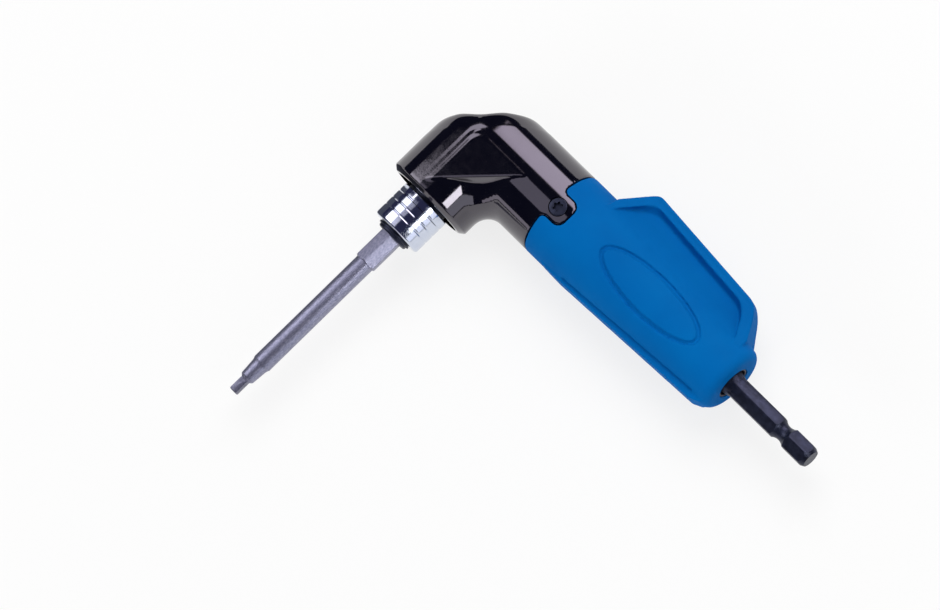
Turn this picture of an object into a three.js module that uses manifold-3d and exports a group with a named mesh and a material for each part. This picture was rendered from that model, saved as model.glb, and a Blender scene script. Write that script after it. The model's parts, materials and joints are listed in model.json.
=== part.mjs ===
// A right-angle bit driver for a drill. A hexagon shank turns a long shaft, a pair of bevel gears
// turns the corner, and a spindle with a quick-change collar holds a square-drive bit.
// Millimetres, +Z up, with the tool lying on its side. Sub-parts are placed from the point where
// the two axes cross: the input axis runs along +X to the shank, the output axis along -Y to the bit.

import * as THREE from 'three';
import { mergeVertices } from 'three/addons/utils/BufferGeometryUtils.js';
import Module from 'manifold-3d';

// Clearances
const FIT = 0.2; // between pieces that seat in or on each other
const RUN = 0.4; // between pieces that turn or slide past each other
const SEAM = 0.3; // between the gear head and the handle
const SINK = 0.5; // how far joined shapes run into each other

// Facets of round pieces
const SIDES = 36;
const RING_SIDES = 28;
const SMALL_SIDES = 12;
const ARC_STEPS = 3;
const WING_STEPS = 14;
const POCKET_STEPS = 24;

// Gear head
const HEAD_RADIUS = 13.9;
const NECK_REACH = 30; // crossing to the seam with the handle
const MOUTH_REACH = 23.8; // crossing to the face of the nose
const MOUTH_RADIUS = 11.25;
const LIP_ROUND = 0.7;
const CORNER_REACH = 6.3; // crossing to the flat across the outer corner
const INNER_FILLET = 6; // in the inside corner of the elbow
const FILLET_DROP = 1.7; // the head's crown to the end of that fillet
const CHEEK_RISE = 0.2; // how far the flat cheeks stand proud of the round
const CHEEK_EDGE = -0.7; // from each axis to the cheek's edge, which lies just beyond it
const CHEEK_SLANT = 13.9; // crossing to the cheek's long edge
const CHEEK_FLARE = 1.8; // how far the facet under the long edge runs out
const CHEEK_DROP = 3.9; // and how far down
const CHEEK_ROUND = 4;
const TAB_REACH = 7;
const TAB_WIDTH = 8.2;
const TAB_CORNER = 2.6;
const TAB_ROOT = 2;

// Bevel gears, alike on both shafts
const TEETH = 14;
const GEAR_RADIUS = 8; // pitch radius at the large end
const TOOTH_LENGTH = 3; // along the gear's axis
const ADDENDUM = 0.9;
const DEDENDUM = 1.2;
const TOOTH_TIP = 0.2; // share of the pitch
const TOOTH_ROOT = 0.56;
const HUB_RADIUS = 6;
const HUB_LENGTH = 4.4;
const GEAR_JOURNAL = 3;
const PIN_RADIUS = 0.9;

// Ball bearings, alike on both shafts
const BEARING_BORE = 5; // radius
const BEARING_RADIUS = 9.5;
const BEARING_WIDTH = 5;
const BALL_RADIUS = 1.3;
const BALL_COUNT = 9;
const LAND_GAP = 0.8; // ball centres to each ring's land
const CAGE_THICKNESS = 0.6;
const CAGE_WIDTH = 1.6;
const SPACER_LENGTH = 1.6;
const SPACER_RADIUS = 6.4;
const CLIP_THICKNESS = 0.8;
const CLIP_BITE = 0.5; // depth of a retaining ring's groove
const CLIP_STAND = 0.8; // how far a retaining ring stands out of its groove
const CLIP_GAP = 0.7; // radians left open

// Handle
const HANDLE_END = 100.6; // crossing to the handle's rear face
const SPIGOT_RADIUS = 10.6;
const HANDLE_BORE = 6.8;
const BOSS_RADIUS = 10.6;
const END_ROUND = 2.8;
const END_WALL = 1.7;
const END_HOLE = 5.25;
const TAPER_START = 41;
const WING_START = 40.8; // where the wing's front edge leaves the round, along X
const WING_BASE = 13.3; // and from the axis
const WING_FRONT_SLOPE = 1.49;
const WING_REACH = 23.0; // the wing's outer edge at its front corner
const WING_CORNER = 48.9;
const WING_TAPER = -0.076;
const WING_TAIL = 96.5; // where the wing's rear edge meets the boss
const WING_TAIL_BASE = 10.6;
const WING_TAIL_SLOPE = -1.44;
const WING_CORNER_BLEND = 2.2;
const WING_TAIL_BLEND = 4;
const WING_THICKNESS = 7.2;
const WING_EDGE_ROUND = 1.2;
const WING_RISE = 48; // degrees round the barrel where the wing's flank starts
const RIM_WIDTH = 2.4;
const RIM_FRONT = 3.2;
const RIM_REAR = 3.4;
const WEB_THICKNESS = 2.4;
const RIDGE_START = 44;
const RIDGE_END = 95;
const RIDGE_FRONT = 14.0; // ridge's edge from the axis at its front end
const RIDGE_REAR = 11.8;
const RIDGE_THICKNESS = 7.6;

// Screws through the head's tabs
const SCREW_SETBACK = 2.5; // seam to the screw
const SCREW_HEAD_RADIUS = 2.65;
const SCREW_HEAD_HEIGHT = 1.5;
const SCREW_RADIUS = 1.5;
const SCREW_LENGTH = 5;
const SCREW_SEAT = 1.6; // depth of the counterbore in the tab
const LOBE_RADIUS = 1.3;
const LOBE_DEPTH = 0.25;
const DRIVE_DEPTH = 1;

// Input shaft and its rear bush
const HEX_FLATS = 6.35; // on the shank and on the bit
const SHANK_LENGTH = 31.2; // beyond the handle
const SHAFT_RADIUS = 4.4;
const SHAFT_STEP = 2; // full-diameter shaft behind the retaining ring
const SHANK_GROOVE = 10.6; // from the shank's end
const SHANK_GROOVE_RADIUS = 2.45;
const SHANK_GROOVE_WIDTH = 4.2;
const SHANK_CHAMFER = 0.8;
const BUSH_WALL = 1.9;
const BUSH_LENGTH = 11.6;

// Output spindle and its tail bush
const TAIL_RADIUS = 2.5;
const TAIL_TOP = 3; // above the crossing
const TAIL_BUSH_WALL = 1;
const TAIL_BUSH_LENGTH = 4.6;
const SPINDLE_RADIUS = 5;
const FLANGE_RADIUS = 6.6;
const SNAP_THICKNESS = 0.6;
const SNAP_RADIUS = 5.6;
const NOSE_LIP = 0.9; // spindle in front of the snap ring
const MAGNET_RADIUS = 2.4;
const MAGNET_LENGTH = 3;

// Quick-change collar, its lock ball and its spring
const COLLAR_GAP = 0.5; // face of the nose to the collar
const COLLAR_RADIUS = 8;
const COLLAR_LENGTH = 12;
const COLLAR_TRAVEL = 2.2;
const COLLAR_CHAMFER = 0.4;
const COLLAR_GROOVES = [4, 6.7, 9.4]; // from the front face
const COLLAR_GROOVE_SIZE = 0.4;
const POCKET_RADIUS = 7;
const POCKET_DEPTH = 4.7;
const COLLAR_LIP = 1.1;
const LOCK_BALL_RADIUS = 1.4;
const LOCK_BALL_SETBACK = 5.3; // collar's front face to the ball
const LOCK_BALL_CENTRE = 4.1; // from the axis, in the bit's groove
const RAMP_SLOPE = 0.4; // ball rise for each millimetre of collar travel
const SPRING_RADIUS = 6;
const SPRING_WIRE = 0.25;
const SPRING_TURNS = 2.5;
const SPRING_STEPS = 8;
const SPRING_SIDES = 5;

// Driver bit
const BIT_GROOVE = 9.5; // from the bit's inner end
const BIT_GROOVE_RADIUS = 2.45;
const BIT_GROOVE_WIDTH = 3.6;
const BIT_HEX_SHOWN = 10.4; // hexagon in front of the spindle
const BIT_ROUND_LENGTH = 40.4;
const BIT_ROUND_RADIUS = 2.95;
const BIT_NECK_LENGTH = 6.4;
const BIT_NECK_RADIUS = 2.5;
const BIT_NECK_TAPER = 0.3;
const BIT_STEP = 0.9;
const BIT_TIP_LENGTH = 4.7;
const BIT_SQUARE = 2.4;
const BIT_CHAMFER = 0.6;
const BIT_TURN = 22; // degrees round its axis that the bit's hexagon stands turned

const wasm = await Module();
wasm.setup();

// Places along either shaft, from the crossing
const gearToe = GEAR_RADIUS - TOOTH_LENGTH;
const hubEnd = GEAR_RADIUS + HUB_LENGTH;
const spacerStart = hubEnd + FIT;
const bearingStart = spacerStart + SPACER_LENGTH + FIT;
const bearingEnd = bearingStart + BEARING_WIDTH;
const clipStart = bearingEnd + FIT;
const clipEnd = clipStart + CLIP_THICKNESS;
const cavityRadius = GEAR_RADIUS + ADDENDUM + RUN;
const seatRadius = BEARING_RADIUS + FIT;
const pitchRadius = (BEARING_BORE + BEARING_RADIUS) / 2;

// Heights on the gear head
const cheekHeight = HEAD_RADIUS + CHEEK_RISE;
const filletHeight = HEAD_RADIUS - FILLET_DROP;

// Places along the input axis
const shankEnd = HANDLE_END + SHANK_LENGTH;
const tabEnd = NECK_REACH + TAB_REACH;
const screwPlace = NECK_REACH + SCREW_SETBACK;
const bushEnd = HANDLE_END - END_WALL - FIT;

// Places along the output axis
const collarRear = MOUTH_REACH + COLLAR_GAP;
const collarFront = collarRear + COLLAR_LENGTH;
const flangeEnd = collarRear + RUN;
const pocketEnd = collarRear + POCKET_DEPTH;
const snapStart = collarFront + FIT;
const snapEnd = snapStart + SNAP_THICKNESS;
const spindleEnd = snapEnd + NOSE_LIP;
const ballPlace = collarFront - LOCK_BALL_SETBACK;
const bitInner = ballPlace - BIT_GROOVE;
const magnetEnd = bitInner - FIT;
const magnetStart = magnetEnd - MAGNET_LENGTH;
const hexEnd = spindleEnd + BIT_HEX_SHOWN;
const roundEnd = hexEnd + BIT_ROUND_LENGTH;
const neckEnd = roundEnd + BIT_NECK_LENGTH;
const bitEnd = neckEnd + BIT_TIP_LENGTH;
const bitTurn = THREE.MathUtils.degToRad(BIT_TURN);

const finishes = {
  blackPaint: finish(0x0b0b10, 0.12, 0.3),
  bluePlastic: finish(0x0068b4, 0.6, 0),
  blackSteel: finish(0x2a2a3e, 0.35, 0.9),
  chrome: finish(0xe6e8f0, 0.08, 1),
  bitSteel: finish(0x9a9ab0, 0.4, 1),
  plainSteel: finish(0xa8a8b0, 0.3, 1),
  bronze: finish(0x9c7a45, 0.45, 0.9),
};

function finish(color, roughness, metalness) {
  return new THREE.MeshStandardMaterial({ color, roughness, metalness });
}

// Solids and booleans

// Turns a closed geometry into a solid whose faces point out.
function solid(geometry) {
  const bare = new THREE.BufferGeometry();
  bare.setAttribute('position', geometry.getAttribute('position'));
  bare.setIndex(geometry.index);
  const merged = mergeVertices(bare, 1e-4);
  const points = merged.getAttribute('position').array;
  const index = Array.from(merged.index.array);
  const faces = [];
  for (let i = 0; i < index.length; i += 3) {
    const [a, b, c] = index.slice(i, i + 3);
    if (a !== b && b !== c && c !== a) faces.push([a, b, c]);
  }
  const corner = (i) => new THREE.Vector3().fromArray(points, 3 * i);
  const cone = ([a, b, c]) => corner(a).dot(corner(b).cross(corner(c)));
  const volume = faces.reduce((sum, face) => sum + cone(face), 0);
  const outward = volume > 0 ? faces : faces.map(([a, b, c]) => [a, c, b]);
  return new wasm.Manifold(new wasm.Mesh({
    numProp: 3,
    vertProperties: new Float32Array(points),
    triVerts: new Uint32Array(outward.flat()),
  }));
}

function join(...solids) {
  return solids.reduce((whole, piece) => whole.add(piece));
}

function cut(whole, ...tools) {
  return tools.reduce((left, tool) => left.subtract(tool), whole);
}

function piece(name, shape, material) {
  const { vertProperties, triVerts } = shape.getMesh();
  const geometry = new THREE.BufferGeometry();
  geometry.setAttribute('position', new THREE.BufferAttribute(vertProperties, 3));
  geometry.setIndex(new THREE.BufferAttribute(triVerts, 1));
  geometry.computeVertexNormals();
  const mesh = new THREE.Mesh(geometry, material);
  mesh.name = name;
  return mesh;
}

// Basic shapes: profiles hold [radius, place along the axis]

function turned(profile, sides = SIDES) {
  const points = profile.map(([radius, place]) => new THREE.Vector2(radius, place));
  return new THREE.LatheGeometry(points, sides);
}

// A turned shape whose axis is the input axis.
function alongInput(profile, sides) {
  return solid(turned(profile, sides).rotateZ(-Math.PI / 2));
}

// A turned shape whose places count from the crossing towards the bit.
function alongOutput(profile, sides) {
  return solid(turned(profile, sides).rotateX(Math.PI));
}

function rod(radius, start, end) {
  return [[0, start], [radius, start], [radius, end], [0, end]];
}

function ring(inner, outer, start, end) {
  return [[inner, start], [outer, start], [outer, end], [inner, end], [inner, start]];
}

function arc(centreRadius, centrePlace, radius, from, to, steps = ARC_STEPS) {
  return Array.from({ length: steps + 1 }, (_, i) => {
    const angle = from + ((to - from) * i) / steps;
    return [centreRadius + radius * Math.cos(angle), centrePlace + radius * Math.sin(angle)];
  });
}

// A round bar along Z, between two heights.
function upright(radius, x, y, low, high, sides = SMALL_SIDES) {
  return solid(turned(rod(radius, low, high), sides).rotateX(Math.PI / 2).translate(x, y, 0));
}

// A flat outline in the XY plane, from one height to another.
function slab(outline, low, high) {
  const shape = Array.isArray(outline)
    ? new THREE.Shape(outline.map(([x, y]) => new THREE.Vector2(x, y)))
    : outline;
  const options = { depth: high - low, bevelEnabled: false, curveSegments: ARC_STEPS };
  return solid(new THREE.ExtrudeGeometry(shape, options).translate(0, 0, low));
}

// A closed skin over equal outlines of [u, v] at rising places, with a flat cap on each end.
function loft(sections, place) {
  const count = sections[0].outline.length;
  const outlines = sections.map(({ outline }) => outline.map(([u, v]) => new THREE.Vector2(u, v)));
  if (THREE.ShapeUtils.isClockWise(outlines[0])) outlines.forEach((outline) => outline.reverse());
  const positions = outlines.flatMap((outline, i) => {
    return outline.flatMap(({ x, y }) => place(x, y, sections[i].at));
  });
  const index = [];
  for (let base = 0; base + count < outlines.length * count; base += count) {
    for (let i = 0; i < count; i += 1) {
      const a = base + i;
      const b = base + ((i + 1) % count);
      index.push(a, b, b + count, a, b + count, a + count);
    }
  }
  const last = (outlines.length - 1) * count;
  THREE.ShapeUtils.triangulateShape(outlines[0], []).forEach(([a, b, c]) => index.push(a, c, b));
  THREE.ShapeUtils.triangulateShape(outlines.at(-1), []).forEach(([a, b, c]) => {
    index.push(last + a, last + b, last + c);
  });
  const geometry = new THREE.BufferGeometry();
  geometry.setAttribute('position', new THREE.Float32BufferAttribute(positions, 3));
  geometry.setIndex(index);
  return solid(geometry);
}

// Section planes for lofts: across the input axis, across the output axis, and across Z.
const acrossInput = (y, z, at) => [at, y, z];
const acrossOutput = (x, z, at) => [x, -at, z];
const acrossHeight = (x, y, at) => [x, y, at];

function prism(outline, start, end, place) {
  return loft([{ at: start, outline }, { at: end, outline }], place);
}

// Regular polygon with its first corner at the angle given.
function polygon(count, inradius, turn) {
  const radius = inradius / Math.cos(Math.PI / count);
  return Array.from({ length: count }, (_, i) => {
    const angle = turn + (2 * Math.PI * i) / count;
    return [radius * Math.cos(angle), radius * Math.sin(angle)];
  });
}

// Gear head

// Tab of the head over the handle, also the notch in the handle when it is grown by a gap.
function tabOutline(gap) {
  const half = TAB_WIDTH / 2 + gap;
  const corner = TAB_CORNER + gap;
  const root = TAB_ROOT - gap;
  const start = NECK_REACH + gap;
  const end = tabEnd + gap;
  const shape = new THREE.Shape();
  shape.moveTo(start - SINK, half + root);
  shape.absarc(start + root, half + root, root, Math.PI, 1.5 * Math.PI, false);
  shape.absarc(end - corner, half - corner, corner, Math.PI / 2, 0, true);
  shape.absarc(end - corner, corner - half, corner, 0, -Math.PI / 2, true);
  shape.absarc(start + root, -half - root, root, Math.PI / 2, Math.PI, false);
  shape.lineTo(start - SINK, -half - root);
  return shape;
}

// Everything on one side of the slanted plane through the crossing that parts the two arms.
function mitreHalf(side) {
  const far = 4 * HEAD_RADIUS;
  const tiny = 0.01 * side;
  return slab([[-far, far - tiny], [far, -far - tiny], [side * far, side * far]], -far, far);
}

function elbow() {
  const stem = [[0, -2 * HEAD_RADIUS], [HEAD_RADIUS, -2 * HEAD_RADIUS]];
  const neck = alongInput([...stem, [HEAD_RADIUS, NECK_REACH], [0, NECK_REACH]]);
  const lip = arc(HEAD_RADIUS - LIP_ROUND, MOUTH_REACH - LIP_ROUND, LIP_ROUND, 0, Math.PI / 2);
  const nose = alongOutput([...stem, ...lip, [0, MOUTH_REACH]]);
  const far = 4 * HEAD_RADIUS;
  const slant = CORNER_REACH * Math.SQRT2;
  const outside = slab([[-far, slant - far], [far, slant + far], [-far, far]], -far, far);
  return cut(join(neck.intersect(mitreHalf(1)), nose.intersect(mitreHalf(-1))), outside);
}

// Fillet in the inside corner: at each height it joins the two rounds as wide as they are there.
function insideFillet() {
  const steps = 6;
  const sections = Array.from({ length: steps + 1 }, (_, i) => {
    const at = filletHeight * ((2 * i) / steps - 1);
    const width = Math.sqrt(HEAD_RADIUS ** 2 - at ** 2) - FIT / 4;
    const reach = width + INNER_FILLET;
    const curve = arc(reach, -reach, INNER_FILLET, Math.PI / 2, Math.PI, 2 * ARC_STEPS);
    return { at, outline: [[0, 0], [reach, 0], ...curve, [0, -reach]] };
  });
  return loft(sections, acrossHeight);
}

// Flat triangular cheeks, with the steep facet under their long edge.
function cheeks() {
  const outline = (slant) => {
    const leg = slant * Math.SQRT2 - CHEEK_EDGE;
    const round = CHEEK_EDGE + CHEEK_ROUND;
    const corner = arc(round, -round, CHEEK_ROUND, Math.PI / 2, Math.PI);
    return [[leg, -CHEEK_EDGE], ...corner, [CHEEK_EDGE, -leg]];
  };
  const facet = cheekHeight - CHEEK_DROP;
  const flared = CHEEK_SLANT + CHEEK_FLARE;
  return loft([
    { at: -cheekHeight, outline: outline(CHEEK_SLANT) },
    { at: -facet, outline: outline(flared) },
    { at: facet, outline: outline(flared) },
    { at: cheekHeight, outline: outline(CHEEK_SLANT) },
  ], acrossHeight);
}

function gearHead() {
  const tabs = alongInput(rod(HEAD_RADIUS, NECK_REACH - SINK, tabEnd))
    .intersect(slab(tabOutline(0), -2 * HEAD_RADIUS, 2 * HEAD_RADIUS));
  const body = join(elbow(), insideFillet(), cheeks(), tabs);
  const cavityStart = gearToe - RUN;
  const clipGroove = seatRadius + CLIP_BITE + FIT;
  const neckBore = alongInput([
    [0, cavityStart], [cavityRadius, cavityStart], [cavityRadius, bearingStart - FIT],
    [seatRadius, bearingStart - FIT], [seatRadius, bearingEnd],
    [SPIGOT_RADIUS + SEAM, bearingEnd], [SPIGOT_RADIUS + SEAM, tabEnd + SINK], [0, tabEnd + SINK],
  ]);
  const noseBore = alongOutput([
    [0, cavityStart], [cavityRadius, cavityStart], [cavityRadius, bearingStart - FIT],
    [seatRadius, bearingStart - FIT], [seatRadius, clipStart - FIT], [clipGroove, clipStart - FIT],
    [clipGroove, clipEnd + FIT], [seatRadius, clipEnd + FIT], [seatRadius, clipEnd + CLIP_STAND],
    [MOUTH_RADIUS, clipEnd + CLIP_STAND], [MOUTH_RADIUS, MOUTH_REACH + SINK], [0, MOUTH_REACH + SINK],
  ]);
  const tailPocket = rod(tailBushRadius() + FIT, -TAIL_TOP - FIT, cavityStart + SINK);
  const tailBore = alongOutput(tailPocket, SMALL_SIDES);
  const seatFloor = HEAD_RADIUS - SCREW_SEAT;
  const screwBores = [1, -1].flatMap((side) => {
    const far = side * 2 * HEAD_RADIUS;
    return [
      upright(SCREW_RADIUS + FIT, screwPlace, 0, 0, far),
      upright(SCREW_HEAD_RADIUS + FIT, screwPlace, 0, side * seatFloor, far, 2 * SMALL_SIDES),
    ];
  });
  return cut(body, neckBore, noseBore, tailBore, ...screwBores);
}

// Handle

function smoothMin(a, b, blend) {
  const overlap = Math.max(blend - Math.abs(a - b), 0) / blend;
  return Math.min(a, b) - (overlap * overlap * blend) / 4;
}

// Distance from the axis to the wing's edge, drawn in by a rim's width where asked.
function wingEdge(x, frontRim = 0, outerRim = 0, rearRim = 0) {
  const inset = (rim, slope) => rim * Math.hypot(1, slope);
  const front = WING_BASE + WING_FRONT_SLOPE * (x - WING_START) - inset(frontRim, WING_FRONT_SLOPE);
  const outer = WING_REACH + WING_TAPER * (x - WING_CORNER) - inset(outerRim, WING_TAPER);
  const rear = WING_TAIL_BASE + WING_TAIL_SLOPE * (x - WING_TAIL) - inset(rearRim, WING_TAIL_SLOPE);
  return smoothMin(smoothMin(front, outer, WING_CORNER_BLEND), rear, WING_TAIL_BLEND);
}

function barrelRadius(x) {
  const end = HANDLE_END - END_ROUND;
  const share = THREE.MathUtils.clamp((x - TAPER_START) / (end - TAPER_START), 0, 1);
  return THREE.MathUtils.lerp(HEAD_RADIUS, BOSS_RADIUS, share);
}

// Where the wing's flank leaves the barrel in its section, just under the barrel's skin.
function flankRoot(x) {
  const rise = THREE.MathUtils.degToRad(WING_RISE);
  const radius = barrelRadius(x) - FIT;
  return [radius * Math.cos(rise), radius * Math.sin(rise)];
}

function stations(start, end, count) {
  return Array.from({ length: count + 1 }, (_, i) => start + ((end - start) * i) / count);
}

// Wing: the barrel's flanks run straight out to a rounded edge.
function wing() {
  const half = WING_THICKNESS / 2;
  const sections = stations(WING_START, WING_TAIL, WING_STEPS).map((x) => {
    const edge = wingEdge(x);
    const [rootOut, rootUp] = flankRoot(x);
    const rounded = arc(edge - WING_EDGE_ROUND, half - WING_EDGE_ROUND, WING_EDGE_ROUND, 0, Math.PI / 2, 2);
    const upper = [...rounded, [rootOut, rootUp], [0, rootUp]];
    return { at: x, outline: [...upper, ...upper.map(([y, z]) => [y, -z]).reverse()] };
  });
  return loft(sections, acrossInput);
}

// Pocket scooped into one flank of the wing, inside its rim.
function wingPocket(side) {
  const floorUp = WEB_THICKNESS / 2;
  const rise = THREE.MathUtils.degToRad(WING_RISE);
  const inner = (x) => wingEdge(x, RIM_FRONT, RIM_WIDTH, RIM_REAR);
  const isOpen = (x) => inner(x) > flankRoot(x)[0] + SINK;
  const places = stations(WING_START, WING_TAIL, POCKET_STEPS).filter(isOpen);
  const sections = places.map((x) => {
    const [rootOut, rootUp] = flankRoot(x);
    const knee = rootOut + (rootUp - floorUp) * Math.tan(rise);
    const floor = new THREE.QuadraticBezierCurve(
      new THREE.Vector2(rootOut, rootUp),
      new THREE.Vector2(knee, floorUp),
      new THREE.Vector2(2 * knee - rootOut, floorUp),
    );
    const end = Math.min((inner(x) - rootOut) / (2 * (knee - rootOut)), 1);
    const points = stations(0, end, ARC_STEPS).map((t) => floor.getPoint(t).toArray());
    const top = HEAD_RADIUS + SINK;
    const outline = [...points, [inner(x) + SINK, top], [rootOut, top]];
    return { at: x, outline: outline.map(([y, z]) => [y, side * z]) };
  });
  return loft(sections, acrossInput);
}

// Low ridge along the edge opposite the wing.
function ridge() {
  const half = RIDGE_THICKNESS / 2;
  const inside = -BOSS_RADIUS / 2;
  return slab([
    [RIDGE_START, inside], [RIDGE_START, -RIDGE_FRONT], [RIDGE_END, -RIDGE_REAR],
    [RIDGE_END + END_ROUND, inside],
  ], -half, half);
}

function handle() {
  const front = clipStart;
  const roundStart = HANDLE_END - END_ROUND;
  const barrel = alongInput([
    [0, front], [SPIGOT_RADIUS, front], [SPIGOT_RADIUS, NECK_REACH + SEAM], [HEAD_RADIUS, NECK_REACH + SEAM],
    [HEAD_RADIUS, TAPER_START],
    ...arc(BOSS_RADIUS - END_ROUND, roundStart, END_ROUND, 0, Math.PI / 2), [0, HANDLE_END],
  ]);
  const bore = alongInput([
    [0, front - SINK], [HANDLE_BORE, front - SINK], [HANDLE_BORE, HANDLE_END - END_WALL],
    [END_HOLE, HANDLE_END - END_WALL], [END_HOLE, HANDLE_END + SINK], [0, HANDLE_END + SINK],
  ]);
  const core = alongInput(rod(SPIGOT_RADIUS, 0, HANDLE_END));
  const notch = cut(slab(tabOutline(SEAM), -2 * HEAD_RADIUS, 2 * HEAD_RADIUS), core);
  const screwHole = upright(SCREW_RADIUS + FIT, screwPlace, 0, -HEAD_RADIUS, HEAD_RADIUS);
  const grip = join(barrel, cut(wing(), wingPocket(1), wingPocket(-1)), ridge());
  return cut(grip, notch, bore, screwHole);
}

function screw(side) {
  const seat = HEAD_RADIUS - SCREW_SEAT + FIT;
  const top = seat + SCREW_HEAD_HEIGHT;
  const head = upright(SCREW_HEAD_RADIUS, screwPlace, 0, side * seat, side * top, 2 * SMALL_SIDES);
  const shank = upright(SCREW_RADIUS, screwPlace, 0, side * (seat + SINK), side * (seat - SCREW_LENGTH));
  const lobes = Array.from({ length: 2 * SMALL_SIDES }, (_, i) => {
    const angle = (Math.PI * i) / SMALL_SIDES;
    const radius = LOBE_RADIUS + LOBE_DEPTH * Math.cos(6 * angle);
    return [screwPlace + radius * Math.cos(angle), radius * Math.sin(angle)];
  });
  const floor = side * (top - DRIVE_DEPTH);
  const drive = slab(lobes, Math.min(floor, side * 2 * top), Math.max(floor, side * 2 * top));
  return cut(join(head, shank), drive);
}

// Bevel gears

// One gear about the Y axis, with its cone's tip at the crossing and a tooth at the angle given.
function bevelGear(turn) {
  const pitch = (2 * Math.PI) / TEETH;
  const corners = [
    [GEAR_RADIUS - DEDENDUM, -TOOTH_ROOT / 2], [GEAR_RADIUS + ADDENDUM, -TOOTH_TIP / 2],
    [GEAR_RADIUS + ADDENDUM, TOOTH_TIP / 2], [GEAR_RADIUS - DEDENDUM, TOOTH_ROOT / 2],
  ];
  const outline = Array.from({ length: TEETH }, (_, tooth) => corners.map(([radius, share]) => {
    const angle = turn + (tooth + share) * pitch;
    return [radius * Math.cos(angle), radius * Math.sin(angle)];
  })).flat();
  const shrunk = outline.map(([u, v]) => [(u * gearToe) / GEAR_RADIUS, (v * gearToe) / GEAR_RADIUS]);
  const teeth = loft([{ at: gearToe, outline: shrunk }, { at: GEAR_RADIUS, outline }], acrossOutput);
  const hub = alongOutput(rod(HUB_RADIUS, GEAR_RADIUS - SINK, hubEnd), 2 * SMALL_SIDES);
  const bore = alongOutput(rod(GEAR_JOURNAL + FIT, 0, hubEnd + SINK), 2 * SMALL_SIDES);
  return cut(join(teeth, hub), bore, hubPinBore());
}

const pinPlace = GEAR_RADIUS + HUB_LENGTH / 2;

function hubPinBore() {
  return upright(PIN_RADIUS + FIT, 0, -pinPlace, -HUB_RADIUS - SINK, HUB_RADIUS + SINK);
}

function hubPin() {
  return upright(PIN_RADIUS, 0, -pinPlace, FIT - HUB_RADIUS, HUB_RADIUS - FIT);
}

// Bearings, drawn along the output axis

function bearingRings() {
  const middle = (bearingStart + bearingEnd) / 2;
  const race = BALL_RADIUS + FIT;
  const spread = Math.acos(LAND_GAP / race);
  const innerRace = arc(pitchRadius, middle, race, Math.PI + spread, Math.PI - spread);
  const outerRace = arc(pitchRadius, middle, race, -spread, spread);
  const innerLand = pitchRadius - LAND_GAP;
  const outerLand = pitchRadius + LAND_GAP;
  const bore = BEARING_BORE + FIT;
  const inner = [
    [bore, bearingStart], [innerLand, bearingStart], ...innerRace, [innerLand, bearingEnd],
    [bore, bearingEnd], [bore, bearingStart],
  ];
  const outer = [
    [BEARING_RADIUS, bearingStart], [outerLand, bearingStart], ...outerRace, [outerLand, bearingEnd],
    [BEARING_RADIUS, bearingEnd], [BEARING_RADIUS, bearingStart],
  ];
  return { inner: alongOutput(inner, RING_SIDES), outer: alongOutput(outer, RING_SIDES) };
}

function ballCage() {
  const middle = (bearingStart + bearingEnd) / 2;
  const inner = pitchRadius - CAGE_THICKNESS / 2;
  const band = ring(inner, inner + CAGE_THICKNESS, middle - CAGE_WIDTH / 2, middle + CAGE_WIDTH / 2);
  const balls = Array.from({ length: BALL_COUNT }, (_, i) => {
    const angle = (2 * Math.PI * i) / BALL_COUNT;
    const ball = new THREE.SphereGeometry(BALL_RADIUS, 8, 5);
    return solid(ball.translate(pitchRadius * Math.sin(angle), -middle, pitchRadius * Math.cos(angle)));
  });
  return join(alongOutput(band, 2 * BALL_COUNT), ...balls);
}

function spacer() {
  const end = spacerStart + SPACER_LENGTH;
  return alongOutput(ring(BEARING_BORE + FIT, SPACER_RADIUS, spacerStart, end), RING_SIDES);
}

// Open retaining ring about the output axis.
function openRing(inner, outer, start, end) {
  const from = CLIP_GAP / 2;
  const to = 2 * Math.PI - CLIP_GAP / 2;
  const steps = 24;
  const outline = [...arc(0, 0, outer, from, to, steps), ...arc(0, 0, inner, to, from, steps)];
  return prism(outline, start, end, acrossOutput);
}

// Input shaft

function inputShaft() {
  const grooveRadius = BEARING_BORE - CLIP_BITE;
  const hexStart = HANDLE_END - FIT;
  const round = alongInput([
    [0, gearToe], [GEAR_JOURNAL, gearToe], [GEAR_JOURNAL, spacerStart], [BEARING_BORE, spacerStart],
    [BEARING_BORE, clipStart - FIT], [grooveRadius, clipStart - FIT], [grooveRadius, clipEnd + FIT],
    [BEARING_BORE, clipEnd + FIT], [BEARING_BORE, clipEnd + SHAFT_STEP],
    [SHAFT_RADIUS, clipEnd + SHAFT_STEP], [SHAFT_RADIUS, hexStart], [0, hexStart],
  ], 2 * SMALL_SIDES);
  const hexagon = prism(polygon(6, HEX_FLATS / 2, Math.PI / 2), hexStart - SINK, shankEnd, acrossInput);
  const corner = HEX_FLATS / Math.sqrt(3);
  const groove = shankEnd - SHANK_GROOVE;
  const slope = corner - SHANK_GROOVE_RADIUS;
  const half = SHANK_GROOVE_WIDTH / 2;
  const envelope = alongInput([
    [0, hexStart - 2 * SINK], [corner + SINK, hexStart - 2 * SINK], [corner + SINK, groove - half],
    [SHANK_GROOVE_RADIUS, groove - half + slope], [SHANK_GROOVE_RADIUS, groove + half - slope],
    [corner + SINK, groove + half], [corner + SINK, shankEnd - SHANK_CHAMFER - SINK],
    [corner - SHANK_CHAMFER, shankEnd], [0, shankEnd],
  ], 2 * SMALL_SIDES);
  const pinBore = upright(PIN_RADIUS + FIT, pinPlace, 0, -HEAD_RADIUS, HEAD_RADIUS);
  return cut(join(round, hexagon.intersect(envelope)), pinBore);
}

function rearBush() {
  const bore = SHAFT_RADIUS + FIT;
  return alongInput(ring(bore, bore + BUSH_WALL, bushEnd - BUSH_LENGTH, bushEnd), RING_SIDES);
}

// Output spindle

function tailBushRadius() {
  return TAIL_RADIUS + FIT + TAIL_BUSH_WALL;
}

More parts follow.
